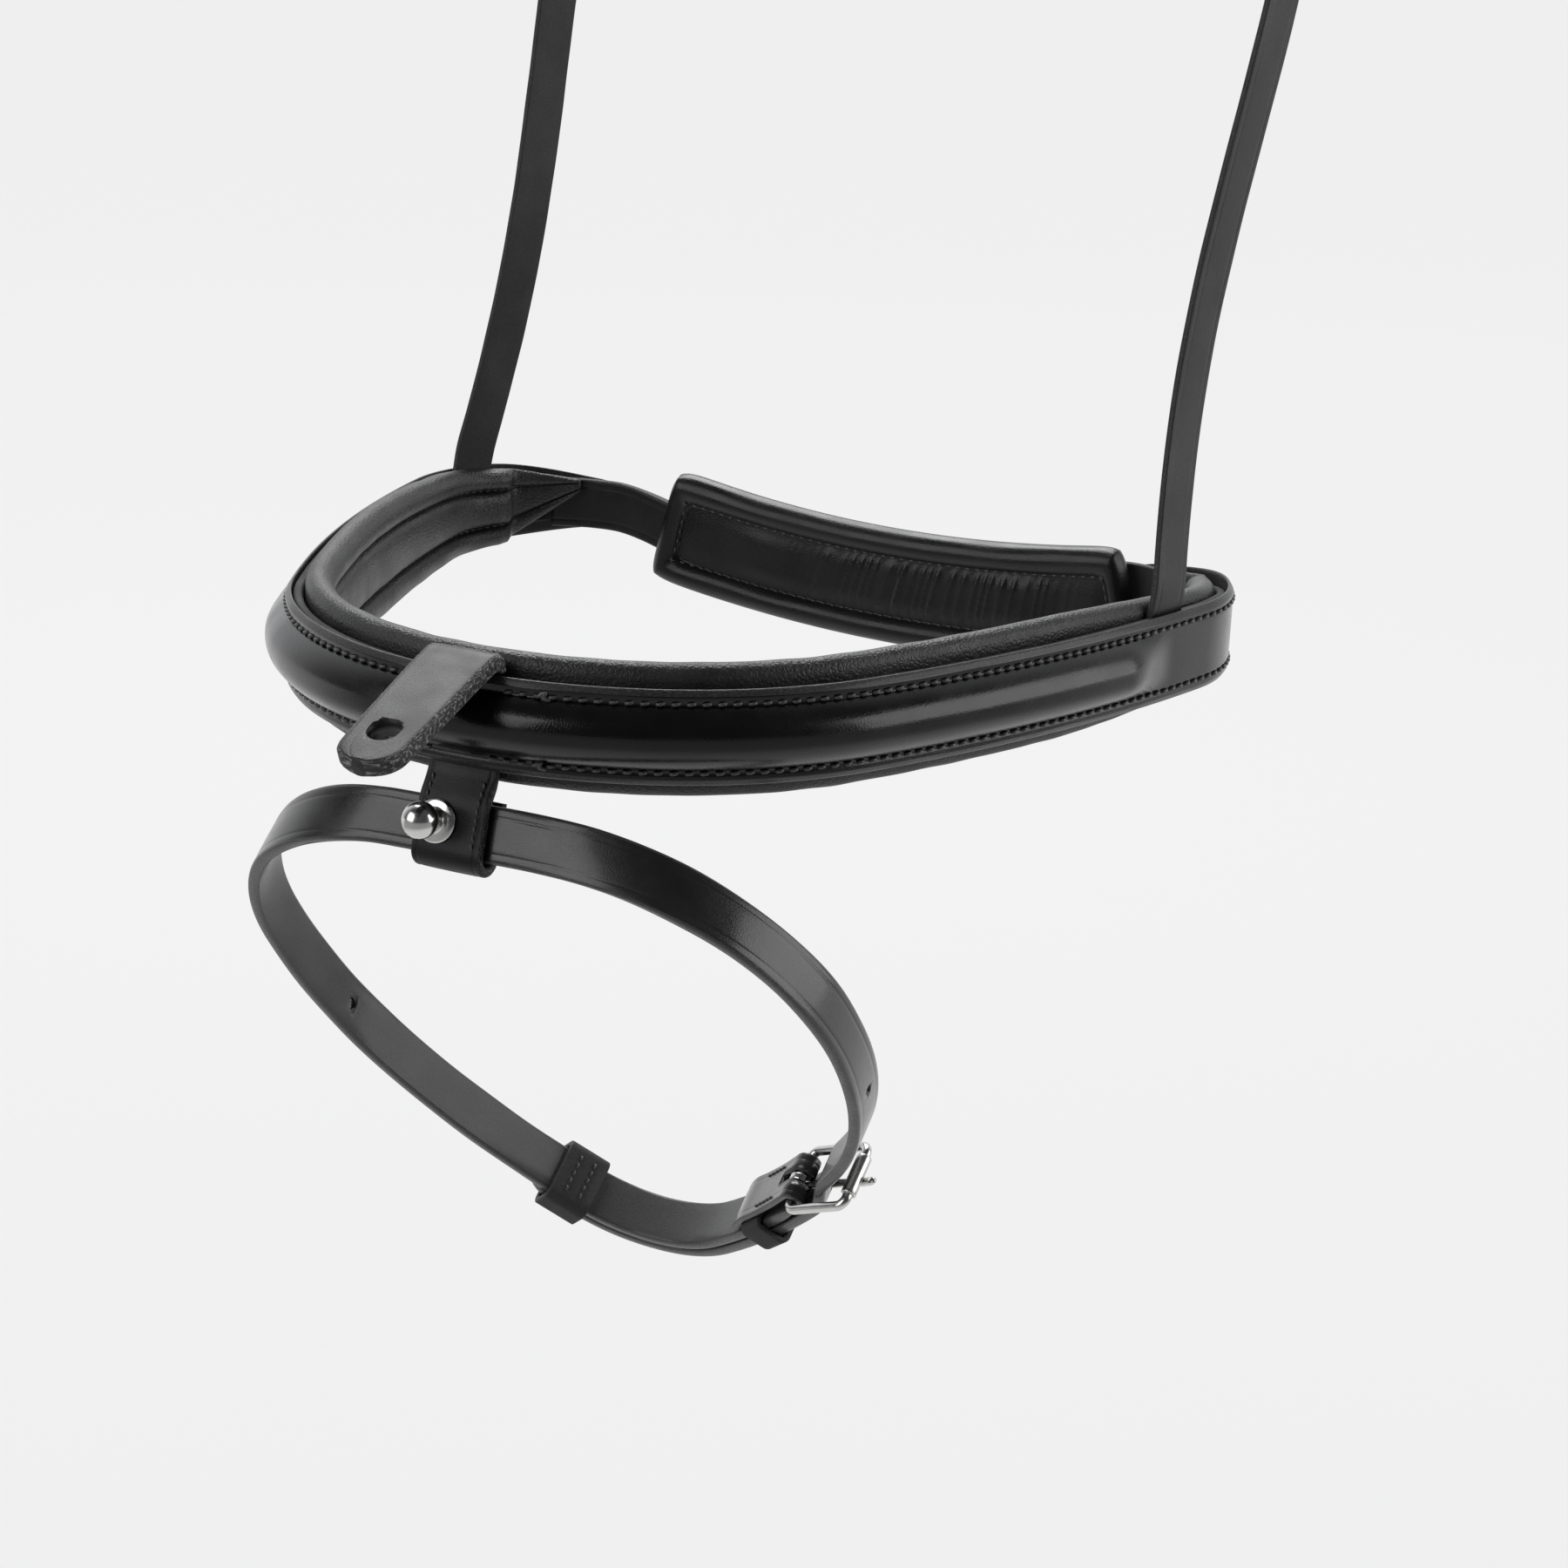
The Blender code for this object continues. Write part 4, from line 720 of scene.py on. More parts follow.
def stitch_rows():
    """Both stitch rows of the nosepiece, and the knots where the thread was joined."""
    s = np.arange(-LEATHER_REACH + END_ROUND, LEATHER_REACH - END_ROUND, PITCH)
    _, normal, along = hoop(s)
    sides = []
    for side, middle, hidden in ((1.0, TAB_SIDE, TAB_WIDTH / 2 + 0.4),
                                 (-1.0, LOOP_SIDE, LOOP_WIDTH / 2 - 2.5)):
        z = side * (leather_half(s) - STITCH_INSET)
        ways = along + np.gradient(z, s)[:, None] * UP
        keep = np.abs(s - middle) >= hidden
        sides.append([a[keep] for a in (on_hoop(s, leather_top(s, z), z), ways, normal)])
    stitches("nosepiece_stitches", *map(np.vstack, zip(*sides)), "noseband", "nosepiece_leather", slant=0.16)
    knots = []
    for at, side in ((TAB_SIDE - TAB_WIDTH / 2 - 1.6, 1.0), (TAB_SIDE + TAB_WIDTH / 2 + 10.0, 1.0),
                     (TAB_SIDE + TAB_WIDTH / 2 + 9.4, -1.0)):
        z = side * (leather_half(at) - STITCH_INSET)
        knots += [(at + ahead, z + up, slant) for ahead, up, slant in KNOT]
    s, z, slant = np.array(knots).T
    _, normal, along = hoop(s)
    stitches("nosepiece_knots", on_hoop(s, leather_top(s, z) + 0.25, z), along, normal, "noseband",
             "nosepiece_leather", 2.6, 1.0, slant)


# Padding: (n share of its thickness, z share of half its height), from its top round to the middle
PADDING_SEW = (0.58, 0.465)
PADDING_OUTLINE = np.array([(0.0, 0.30), (0.0, 0.62), (0.0, 0.80), (0.14, 0.945), (0.44, 1.0), (0.76, 0.94),
                            (0.95, 0.80), (0.98, 0.66), (0.85, 0.53), PADDING_SEW, (0.80, 0.40),
                            (0.93, 0.30), (0.99, 0.12)])


def padding_shares(s):
    """Height, thickness and lift of the padding at s: past the end seam it is a thin pointed tongue."""
    past = np.clip(past_end(s, PADDING_REACH, SEAM_FROM_TIP), 0, 1)
    narrow = np.clip((np.abs(s) - PADDING_NARROWS) / (PADDING_REACH - PADDING_NARROWS - 12.0), 0, 1) ** 1.4
    height = 1.0 + (PADDING_END_HEIGHT / PADDING_HEIGHT - 1.0) * narrow
    pointed = 1 - 0.82 * past ** 1.3
    flat = smooth((past - 0.02) / 0.16)
    return height * pointed, 1 - 0.7 * flat, (height - height * pointed) * PADDING_HEIGHT * 0.34


def round_outline(points, count):
    """A closed outline through points, by cubic pieces, as count points."""
    points = np.vstack([points[-1], points, points[:2]])
    slope = (points[2:] - points[:-2]) / 2
    points = points[1:-1]
    u = np.linspace(0, len(points) - 1, count, endpoint=False)
    i = u.astype(int)
    return cubic((u - i)[:, None], points[i], points[i + 1], slope[i], slope[i + 1])


def padding_place(s, a, b):
    """Places on the padding from shares a (thickness) and b (height), with its soft unevenness.

    The surface swells and puckers along s: short folds beside the sewn channels, at b near
    0.46, long soft ones over the rolls, and a sewn seam across near each tip.
    """
    tall, deep, lift = padding_shares(s)
    beside = bell(np.abs(b) - 0.46, 0.16)
    puckers = wander(s + 1.4 * b, 0.05, 4.6, 11) * beside + wander(s, 0.04, 4.1, 12) * beside * np.sign(b)
    folds = wander(s + 3.0 * np.abs(b), 0.08, 26.0, 13) * smooth((a - 0.1) / 0.5)
    rolls = wander(s, 0.05, 11.0, 14) * bell(np.abs(b) - 0.97, 0.12)
    seam = 0.9 * bell(np.abs(s) - PADDING_REACH + SEAM_FROM_TIP, 1.2) * smooth((a - 0.3) / 0.4) * deep
    n = PADDING_FRONT - (a * deep * PADDING_THICK) - (puckers + folds) * (a > 0.02) + seam
    return on_hoop(s[:, 0], n, b * tall * PADDING_HEIGHT / 2 + lift + rolls * np.sign(b))


def nosepiece_padding():
    """The soft lining: a roll at each edge and two sewn channels on the inner face."""
    outline = round_outline(np.vstack([PADDING_OUTLINE, PADDING_OUTLINE[::-1] * [1, -1]]), 120)
    outline[:, 0] = np.maximum(outline[:, 0], 0.0)
    s = spaced(-PADDING_REACH, PADDING_REACH, 1.5)[:, None]
    ob = swept("nosepiece_padding_dressed", padding_place(s, *outline.T), PADDING_LEATHER, "noseband",
               ["nosepiece_padding"])
    s = np.arange(-PADDING_REACH + SEAM_FROM_TIP + 1, PADDING_REACH - SEAM_FROM_TIP, 2.9)[:, None]
    _, normal, along = hoop(s[:, 0])
    deep, high = PADDING_SEW
    places = np.vstack([padding_place(s, deep, b)[:, 0] for b in (high, -high)])
    stitches("padding_stitches", places, np.vstack([along] * 2), -np.vstack([normal] * 2), "noseband",
             "nosepiece_padding", 2.3, 0.55)


# Buckles.  A buckle's own axes: X the way the strap end travels, Y out of the strap, Z across
BASE_N = -2.3
END_N = STRAP_THICK / 2 + SEAM_GAP + ROLLER_RADIUS + ROLLER_LIFT
PRONG_THICK, PRONG_WIDTH, PRONG_REST, PRONG_PAST = 1.4, 2.2, 0.35, 3.4
PRONG_WRAP = WIRE_RADIUS + 0.12 + PRONG_THICK / 2
FOLD_RADIUS = WIRE_RADIUS + 0.3 + CHAPE_THICK / 2
CHAPE_LIE = -(STRAP_THICK / 2 + SEAM_GAP + CHAPE_THICK / 2)
ROLLER_PAST = 2.5 - BUCKLE_LENGTH
END_OVER = STRAP_THICK * 1.5 + 0.45


class Seat:
    """Where a buckle or keeper sits: an origin and three directions."""

    def __init__(self, origin, x, y, z):
        self.origin = np.asarray(origin, float)
        self.axes = np.array([unit(x), unit(y), unit(z)])

    def put(self, x, y, z=0.0):
        """Places in the seat's own axes, in space."""
        x, y, z = np.broadcast_arrays(*(np.asarray(v, float) for v in (x, y, z)))
        return self.origin + np.stack([x, y, z], -1) @ self.axes

    def way(self, x, y):
        """A direction in the seat's own X and Y, in space."""
        return np.array([x, y, 0.0]) @ self.axes

    def moved(self, x):
        """The same seat, x along."""
        return Seat(self.put(x, 0.0), *self.axes)


def rounded(low, high, half, bend, steps, shares=()):
    """A rectangle with round corners, from low to high and half to each side, as places round it.

    Each corner has that many places, and shares says where on the sides there are more.
    """
    turns = np.linspace(0, math.pi / 2, steps)
    corners = [arc_round(x, z, bend, turns + start * math.pi / 2)
               for start, (x, z) in enumerate(((high - bend, half - bend), (low + bend, half - bend),
                                               (low + bend, bend - half), (high - bend, bend - half)))]
    shares = np.reshape(shares, (-1, 1))
    return np.vstack([part for corner, after in zip(corners, corners[1:] + corners[:1])
                      for part in (corner, corner[-1] + (after[0] - corner[-1]) * shares)])


def wire_frame(node, seat, low, high, strap_width, body):
    """A closed wire rectangle between two bars, with round corners and a round section."""
    low, high = np.array(low), np.array(high)
    run = np.linalg.norm(high - low)
    ahead = (high - low) / run
    flat = rounded(0.0, run, strap_width / 2 + BUCKLE_ROOM + WIRE_RADIUS, WIRE_RADIUS * 1.9, 9)
    xy = low + ahead * flat[:, :1]
    centres = seat.put(xy[:, 0], xy[:, 1], flat[:, 1])
    face = np.broadcast_to(unit(seat.way(-ahead[1], ahead[0])), centres.shape)
    t = np.linspace(0, 2 * math.pi, 24, endpoint=False)
    rings = carried(centres, face, WIRE_RADIUS * np.cos(t), WIRE_RADIUS * np.sin(t), True)
    swept(node + "_dressed", rings, STEEL, body, [node], True)


def prong_path():
    """The prong's middle line in the buckle's X, Y: round the base bar, then to the roller."""
    base = np.array([0.0, BASE_N])
    rest = np.array([-BUCKLE_LENGTH, END_N + ROLLER_RADIUS + PRONG_REST + PRONG_THICK / 2])
    gap = rest - base
    leave = math.atan2(gap[1], gap[0]) - math.acos(PRONG_WRAP / np.linalg.norm(gap))
    arc = arc_round(*base, PRONG_WRAP, np.linspace(leave - math.radians(255), leave, 16))
    straight = rest - arc[-1]
    ahead = unit(straight)
    past = ahead * PRONG_PAST - np.array([0.0, 0.4])
    path = np.vstack([arc, arc[-1] + straight * [[0.12], [0.3], [0.5], [0.7], [0.88], [1.0]],
                      rest + past * [[0.35], [0.7], [0.9], [1.0]]])
    return path, arc[-1], ahead


def buckle(prefix, seat, strap_width):
    """A roller buckle: wire frame, roller and prong, each its own body."""
    frame_node, roller, prong = (prefix + part for part in ("_frame", "_roller", "_prong"))
    wire_frame(frame_node, seat, (0, BASE_N), (-BUCKLE_LENGTH, END_N), strap_width, frame_node)
    length = strap_width - 2.0
    outline = [(-length / 2, WIRE_RADIUS + 0.08), (-length / 2, ROLLER_RADIUS - 0.25),
               (-length / 2 + 0.08, ROLLER_RADIUS - 0.08), (-length / 2 + 0.25, ROLLER_RADIUS)]
    outline += [(length * a, ROLLER_RADIUS) for a in (-0.4, -0.2, 0.0)]
    outline += [(-d, r) for d, r in outline[-2::-1]]
    spun(roller, seat.put(-BUCKLE_LENGTH, END_N), seat.axes[2], outline, ROLLER_STEEL, roller, 48, True)
    path = prong_path()[0]
    width = np.full(len(path), PRONG_WIDTH)
    thick = np.full(len(path), PRONG_THICK)
    width[-4:] *= (1.0, 0.94, 0.72, 0.4)
    thick[-4:] *= (1.0, 0.9, 0.7, 0.45)
    rows, _ = through(row(seat.put(*path.T), seat.axes[2], width, thick), 0.4)
    across, outward, _ = strap_section(rows[:, 6], rows[:, 7], 0.3, 0.0, 0.42, 0.12)
    swept(prong + "_dressed", carried(rows[:, :3], rows[:, 3:6], across, outward), STEEL, prong, [prong])


def fold_path(back_length, lie=CHAPE_LIE):
    """The folded end of a chape in X, Y: turned-back end, round the bar, out on top."""
    x = np.concatenate([back_length * np.array([1.0, 0.88, 0.75, 0.6]), [12.0, 9.0, 6.5, 4.0, 1.5]])
    y = eased(x, [(2.0, BASE_N - FOLD_RADIUS), (9.0, lie)])
    round_bar = arc_round(0.0, BASE_N, FOLD_RADIUS, np.linspace(math.pi * 1.5, math.pi / 2, 11))
    return np.vstack([np.stack([x, y], -1), round_bar])


def prong_slot(seat):
    """The cutter of the slot that a prong needs in a fold."""
    return block_cutter(seat.put(0.6, BASE_N), seat.axes,
                        [9.6, 2 * FOLD_RADIUS + CHAPE_THICK + 2.0, PRONG_WIDTH + 1.0])


def prong_hole(seat):
    """The cutter of the hole that the prong goes through in a strap end."""
    _, start, ahead = prong_path()
    middle = start + ahead * BUCKLE_LENGTH * 0.4
    axes = [seat.way(*ahead), seat.way(-ahead[1], ahead[0]), seat.axes[2]]
    return block_cutter(seat.put(*middle), axes, [BUCKLE_LENGTH * 0.8, PRONG_THICK + 1.3, PRONG_WIDTH + 0.9])


def weave(x):
    """Height of a strap end through a buckle: under the roller, over the folded chape."""
    return eased(x, [(ROLLER_PAST, 0.0), (-1.0, CHAPE_THICK / 2 + SEAM_GAP + STRAP_THICK / 2 + 1.0),
                     (12.0, STRAP_THICK + 0.45)])


def keeper(node, seat, low, high, strap_width, width, body, slack=KEEPER_SLACK, thick=KEEPER_THICK):
    """A closed leather loop round a stack of straps, with a creased line at each edge."""
    room = slack + thick / 2
    flat = rounded(low - room, high + room, strap_width / 2 + room, thick * 1.3, 7,
                   np.linspace(0.15, 0.85, 6))
    centres = seat.put(0.0, *flat.T)
    strap(node, (row(centres, seat.axes[0], width, thick), travelled(centres)), STRAP_LEATHER, body, True,
          crease=1.1, depth=0.15)


def seam_along(name, seats, y, half, body, slot, out=1.0, long=1.9):
    """Two stitch rows along a strap through its seats, at height y and half to each side."""
    spots = [(seat.put(0.0, y, z), seat.axes[0], seat.axes[1] * out) for seat in seats for z in (-half, half)]
    stitches(name, *map(np.array, zip(*spots)), body, slot, long, FINE_THREAD, 0.12)


# Hangers
def hanger_seat(side):
    """The seat of a hanger's buckle: its strap travels down, its outer face outwards."""
    place, normal, along = hoop(NEAR_HANGER_PLACE if side > 0 else -OFF_HANGER_PLACE)
    lean = math.radians(HANGER_LEAN)
    up = UP * math.cos(lean) + along * side * math.sin(lean)
    return Seat(place - normal * FOOT_INSET + up * HANGER_LENGTH, -up, normal, np.cross(up, normal))


def hanger_bow(x):
    """How far in a hanger strap bows at x below its buckle's bar."""
    free = HANGER_LENGTH - FREE_FROM
    share = np.clip((np.asarray(x) - CLOSED_TO) / (free - CLOSED_TO), 0, 1) ** 1.3
    return -HANGER_BOW * np.sin(math.pi * share)


def hanger(side):
    """A hanger strap from its foot in the noseband up to a buckle, with its keeper and stitching."""
    prefix = "near_hanger" if side > 0 else "off_hanger"
    seat = hanger_seat(side)
    fold = fold_path(30.0)
    tail = np.concatenate([[3.0, 6.0, 9.0, 12.0], spaced(CLOSED_TO, HANGER_LENGTH - FREE_FROM, 9.0),
                           [HANGER_LENGTH - 8.0, HANGER_LENGTH + FOOT_DEPTH - SEAM_GAP - 1.0]])
    path = np.vstack([fold, np.stack([tail, hanger_bow(tail)], -1)])
    thick = np.concatenate([np.full(len(fold), CHAPE_THICK),
                            eased(tail, [(3.0, CHAPE_THICK), (12.0, FOOT_THICK)])])
    knots = row(seat.put(*path.T), seat.axes[2], HANGER_WIDTH, thick)
    ob = strap(prefix + "_strap", through(knots, 1.4), STRAP_LEATHER, "noseband", seed=5 + side)
    cut(ob, [prong_slot(seat)])
    buckle(prefix + "_buckle", seat, HANGER_WIDTH)
    keeper(prefix + "_keeper", seat.moved(20.0), CHAPE_LIE - CHAPE_THICK / 2, STRAP_THICK + 2.0, HANGER_WIDTH,
           9.0, "noseband")
    xs = np.concatenate([np.arange(7.5, 14.5, STRAP_PITCH), np.arange(26.0, 29.5, STRAP_PITCH)])
    seam_along(prefix + "_stitches", [seat.moved(x) for x in xs], FOOT_THICK / 2 + 0.02,
               HANGER_WIDTH / 2 - SEW_INSET, "noseband", prefix + "_strap")


# Flash tab, loop and stud
LOOP_TURN = math.radians(LOOP_LEAN)
TAB_AXIS = np.array([TAB_SIDE, -NOSE_DEPTH - TAB_FOLD, TAB_RISE])
LOOP_AXIS = np.array([LOOP_SIDE, -NOSE_DEPTH + 0.4, -10.6])
LOOP_DOWN = np.array([0.0, -math.sin(LOOP_TURN), -math.cos(LOOP_TURN)])
LOOP_OUT = np.array([0.0, -math.cos(LOOP_TURN), math.sin(LOOP_TURN)])
STRAP_OUT = PANEL_OUT - LOOP_THICK / 2 - LOOP_SLACK - STRAP_THICK / 2


def in_loop(down, out, x=0.0):
    """Places in the flash loop's own directions, in space."""
    down, out, x = np.broadcast_arrays(*(np.asarray(v, float) for v in (down, out, x)))
    return LOOP_AXIS + down[..., None] * LOOP_DOWN + out[..., None] * LOOP_OUT + x[..., None] * X_WAY


def flash_tab():
    """The tab: thin where it folds over the top edge, thick and round-ended, with a round hole."""
    drop = math.radians(TAB_DROP)
    ahead = np.array([0.0, -math.cos(drop), -math.sin(drop)])
    face = np.array([0.0, -math.sin(drop), math.cos(drop)])
    a = np.linspace(math.pi, math.pi / 2 - drop, 12)
    arc = TAB_AXIS + TAB_FOLD * np.stack([0 * a, -np.cos(a), np.sin(a)], -1)
    reach = np.concatenate([spaced(2.5, TAB_LENGTH - TAB_TIP * 1.1, 3.0), TAB_LENGTH - tip_places(TAB_TIP)])
    narrow = TAB_WIDTH - 2.0 * reach / TAB_LENGTH
    tip = tip_share(past_end(reach, TAB_LENGTH, TAB_TIP), 2.8, 0.2)
    width = np.concatenate([np.full(len(a), TAB_WIDTH), narrow * tip])
    stem, plump = BACKING_THICK - 0.4, TAB_THICK + TAB_SWELL
    thick = np.concatenate([eased(np.arange(len(a)), [(0, stem), (7, plump)]), np.full(len(reach), plump)])
    swell = eased(reach, [(0.0, 0.0), (6.0, TAB_SWELL / 2)])[:, None] * face
    knots = row(np.vstack([arc, arc[-1] + reach[:, None] * ahead + swell]), X_WAY, width, thick)
    ob = strap("flash_tab", through(knots, 0.7), TAB_LEATHER, "tab", crease=2.3, depth=0.03, crown=0.25)
    cut(ob, [round_cutter(arc[-1] + ahead * TAB_HOLE_PLACE, face, TAB_HOLE / 2, 14.0)])


def flash_loop():
    """The folded, double leather loop that carries the flash strap and the stud."""
    space = STRAP_THICK + 2 * LOOP_SLACK + LOOP_THICK
    bend = space / 2
    low = LOOP_LENGTH - bend - LOOP_THICK / 2
    front = np.array([(0.0, 0.0), (1.5, 0.0), (3.0, 0.05), (4.8, 0.3), (6.5, PANEL_OUT / 2), (8.0, 1.3),
                      (9.5, PANEL_OUT), (14.0, PANEL_OUT), (low - 2.0, PANEL_OUT), (low, PANEL_OUT)])
    a = np.linspace(0, math.pi, 13)[1:]
    arc = np.stack([low + bend * np.sin(a), PANEL_OUT - bend + bend * np.cos(a)], -1)
    back = np.array([(down, PANEL_OUT - space) for down in (low - 2.0, 14.0, 11.0, 8.2)])
    path = np.vstack([front, arc, back])
    thick = np.full(len(path), LOOP_THICK)
    thick[:3] = LOOP_THICK - 0.5
    ob = strap("flash_loop", through(row(in_loop(*path.T), X_WAY, LOOP_WIDTH, thick), 0.8), LOOP_LEATHER,
               "loop", crease=1.0, depth=0.12, round_share=0.25)
    cut(ob, [round_cutter(in_loop(STUD_DOWN, PANEL_OUT - deep, STUD_SIDE), LOOP_OUT, radius, length)
             for deep, radius, length in ((0.0, 1.5, LOOP_THICK * 1.6), (LOOP_THICK / 2, 3.3, 2.0))])
    inset = LOOP_WIDTH / 2 - 2.3
    down = np.arange(4.6, LOOP_LENGTH - 5.2, 1.95)
    out = np.interp(down, front[:, 0], front[:, 1]) + LOOP_THICK / 2
    places = np.vstack([in_loop(down, out, x) for x in (-inset, inset)])
    stitches("flash_loop_stitches", places, LOOP_DOWN, LOOP_OUT, "loop", "flash_loop", 1.7, FINE_THREAD, 0.15)


# The stud's flanged foot: (distance out from the loop's face, mm in from the foot's edge)
STUD_FOOT = ((0.0, 0.4), (0.1, 0.12), (0.3, 0.0), (0.5, 0.1), (0.72, 0.6))


def stud():
    """The turned steel stud: a flanged foot, a neck and a ball."""
    front = LOOP_THICK / 2 + 0.3
    ball, neck = STUD_BALL / 2, STUD_NECK / 2
    middle = front + STUD_REACH
    outline = [(front, 0.0)] + [(front + d, STUD_BASE / 2 - inset) for d, inset in STUD_FOOT]
    outline += [(front + d, neck + more) for d, more in ((0.9, 1.0), (1.1, 0.35), (1.5, 0.05))]
    outline += [(middle - math.sqrt(ball ** 2 - neck ** 2) - 0.2, neck)]
    turns = np.linspace(math.asin(neck / ball), math.pi, 22)
    outline += list(zip(middle - ball * np.cos(turns), ball * np.sin(turns)))
    spun("flash_stud", in_loop(STUD_DOWN, PANEL_OUT, STUD_SIDE), LOOP_OUT, outline, STEEL, "loop", 64)


# Flash strap: lengths and turns from the loop round by the near side, then two that close it
FLASH_PIECES = [(14.0, 0.0), (14.0, 6.0), (79.0, 76.5), (62.0, 41.0), (73.5, 19.0), (43.5, 80.0),
                (64.0, 22.5)]
FLASH_CLOSE = [26.0, 89.0]
FLASH_LAST = (16.0, 0.0)


def flash_curve():
    """The closed middle line, with the two closing arcs solved for length."""
    def made(lengths):
        return Curve((0.0, 0.0), FLASH_PIECES + list(zip(lengths, FLASH_CLOSE)) + [FLASH_LAST])

    start = np.array([50.0, 90.0])
    base = made(start).places[-1]
    grad = np.column_stack([made(start + np.eye(2)[i]).places[-1] - base for i in range(2)])
    return made(start - np.linalg.solve(grad, base))


FLASH = flash_curve()
FLASH_START = in_loop(STRAP_DOWN, STRAP_OUT, -LOOP_SIDE)
FLASH_U = np.array([math.cos(FLASH_ROLL), 0.0, math.sin(FLASH_ROLL)])
FLASH_W = np.cross(FLASH_U, [0.0, math.cos(FLASH_TILT), -math.sin(FLASH_TILT)])
FLASH_V = np.cross(FLASH_W, FLASH_U)


def flash_frame(s):
    """Places, outward normals, travel and width directions of the flash strap at s."""
    s = np.mod(np.asarray(s, float), FLASH.length)
    xy, h = FLASH.at(s)
    place = FLASH_START + xy[..., :1] * FLASH_U + xy[..., 1:] * FLASH_V
    h = h[..., None]
    normal = np.sin(h) * FLASH_U - np.cos(h) * FLASH_V
    along = np.cos(h) * FLASH_U + np.sin(h) * FLASH_V
    away = np.minimum(s, FLASH.length - s)[..., None]
    twist = (FLASH_TILT - LOOP_TURN) * (1 - smooth((away - TWIST_FROM) / TWIST_OVER))
    return (place, normal * np.cos(twist) - FLASH_W * np.sin(twist), along,
            FLASH_W * np.cos(twist) + normal * np.sin(twist))


def flash_seat(s):
    """A seat on the flash strap."""
    place, normal, along, across = flash_frame(s)
    return Seat(place, along, normal, across)


def skived(x):
    """The turned-back end x behind the bar: how far it slopes to the strap, and its thickness."""
    return eased(x, [(27.5, 0.0), (33.5, 2.1)]), eased(x, [(26.0, CHAPE_THICK), (34.0, 0.7)])


def flash_strap():
    """The flash strap in one piece: folded chape, round the loop, through the buckle, tip."""
    seat = flash_seat(FLASH_BUCKLE)
    lie = -(STRAP_THICK / 2 + FIXED_SLACK + FIXED_THICK + SEAM_GAP + CHAPE_THICK / 2)
    fold = fold_path(FLASH_FIXED_KEEPER + 11.0, lie)
    slope, fold_thick = skived(fold[:, 0])
    fold[:, 1] += slope
    place, normal, _, _ = flash_frame(FLASH_BUCKLE + fold[:, 0])
    centres = np.where(fold[:, :1] > 2.0, place + normal * fold[:, 1:], seat.put(*fold.T))
    total = FLASH.length
    tip = total + FLASH_TIP
    end = total + FLASH_BUCKLE
    s = np.concatenate([FLASH_BUCKLE + np.array([3.0, 6.0, 9.0, 12.0]),
                        spaced(FLASH_BUCKLE + 18.0, end + ROLLER_PAST - 3.0, 4.0),
                        end + spaced(ROLLER_PAST, 12.0, 1.7), spaced(end + 16.0, tip - 9.0, 4.0),
                        tip - tip_places(FLASH_TIP_ROUND)])
    past = s - total - FLASH_BUCKLE
    place, normal, _, across = flash_frame(s)
    lift = np.where(past > ROLLER_PAST, weave(past), 0.0)
    width = FLASH_WIDTH * tip_share((s - tip + FLASH_TIP_ROUND) / FLASH_TIP_ROUND)
    thick = eased(s - FLASH_BUCKLE, [(3.0, CHAPE_THICK), (12.0, STRAP_THICK)])
    knots = np.vstack([row(centres, seat.axes[2], FLASH_WIDTH, fold_thick),
                       row(place + lift[:, None] * normal, across, width, thick)])
    ob = strap("flash_strap", through(knots, 1.2), FLASH_LEATHER, "flash", seed=9)
    holes = [strap_hole(*flash_frame(FLASH_BUCKLE + at)[:2]) for at in FLASH_HOLES]
    cut(ob, [prong_slot(seat), prong_hole(seat)] + holes)
    buckle("flash_buckle", seat, FLASH_WIDTH)
    keeper("flash_fixed_keeper", flash_seat(FLASH_BUCKLE + FLASH_FIXED_KEEPER), -STRAP_THICK / 2, END_OVER,
           FLASH_WIDTH, 9.0, "flash", FIXED_SLACK, FIXED_THICK)
    slider = flash_seat(FLASH_SLIDER)
    keeper("flash_sliding_keeper", slider, -STRAP_THICK / 2, END_OVER, FLASH_WIDTH, 12.0, "slider",
           SLIDER_SLACK)
    x, z = np.meshgrid([-2.1, 2.1], np.arange(-4.6, 4.7, 2.3))
    places = slider.put(x.ravel(), -STRAP_THICK / 2 - SLIDER_SLACK - KEEPER_THICK - 0.05, z.ravel())
    stitches("flash_slider_stitches", places, slider.axes[2], -slider.axes[1], "slider",
             "flash_sliding_keeper", 1.7, 0.7, 0.1)
    seam_along("flash_chape_stitches",
               [flash_seat(FLASH_BUCKLE + x) for x in np.arange(8.0, FLASH_FIXED_KEEPER - 5.5, 2.1)],
               lie - CHAPE_THICK / 2, FLASH_WIDTH / 2 - SEW_INSET, "flash", "flash_strap", -1.0, 1.7)


# Back strap, its buckle, the ring and the jaw pad
def back_seat(x, n, drop):
    """A seat on the straight back, n outwards and drop down: X runs to the off side, Y outwards."""
    return Seat([x, BACK_Y + n, -drop], -X_WAY, Y_WAY, UP)


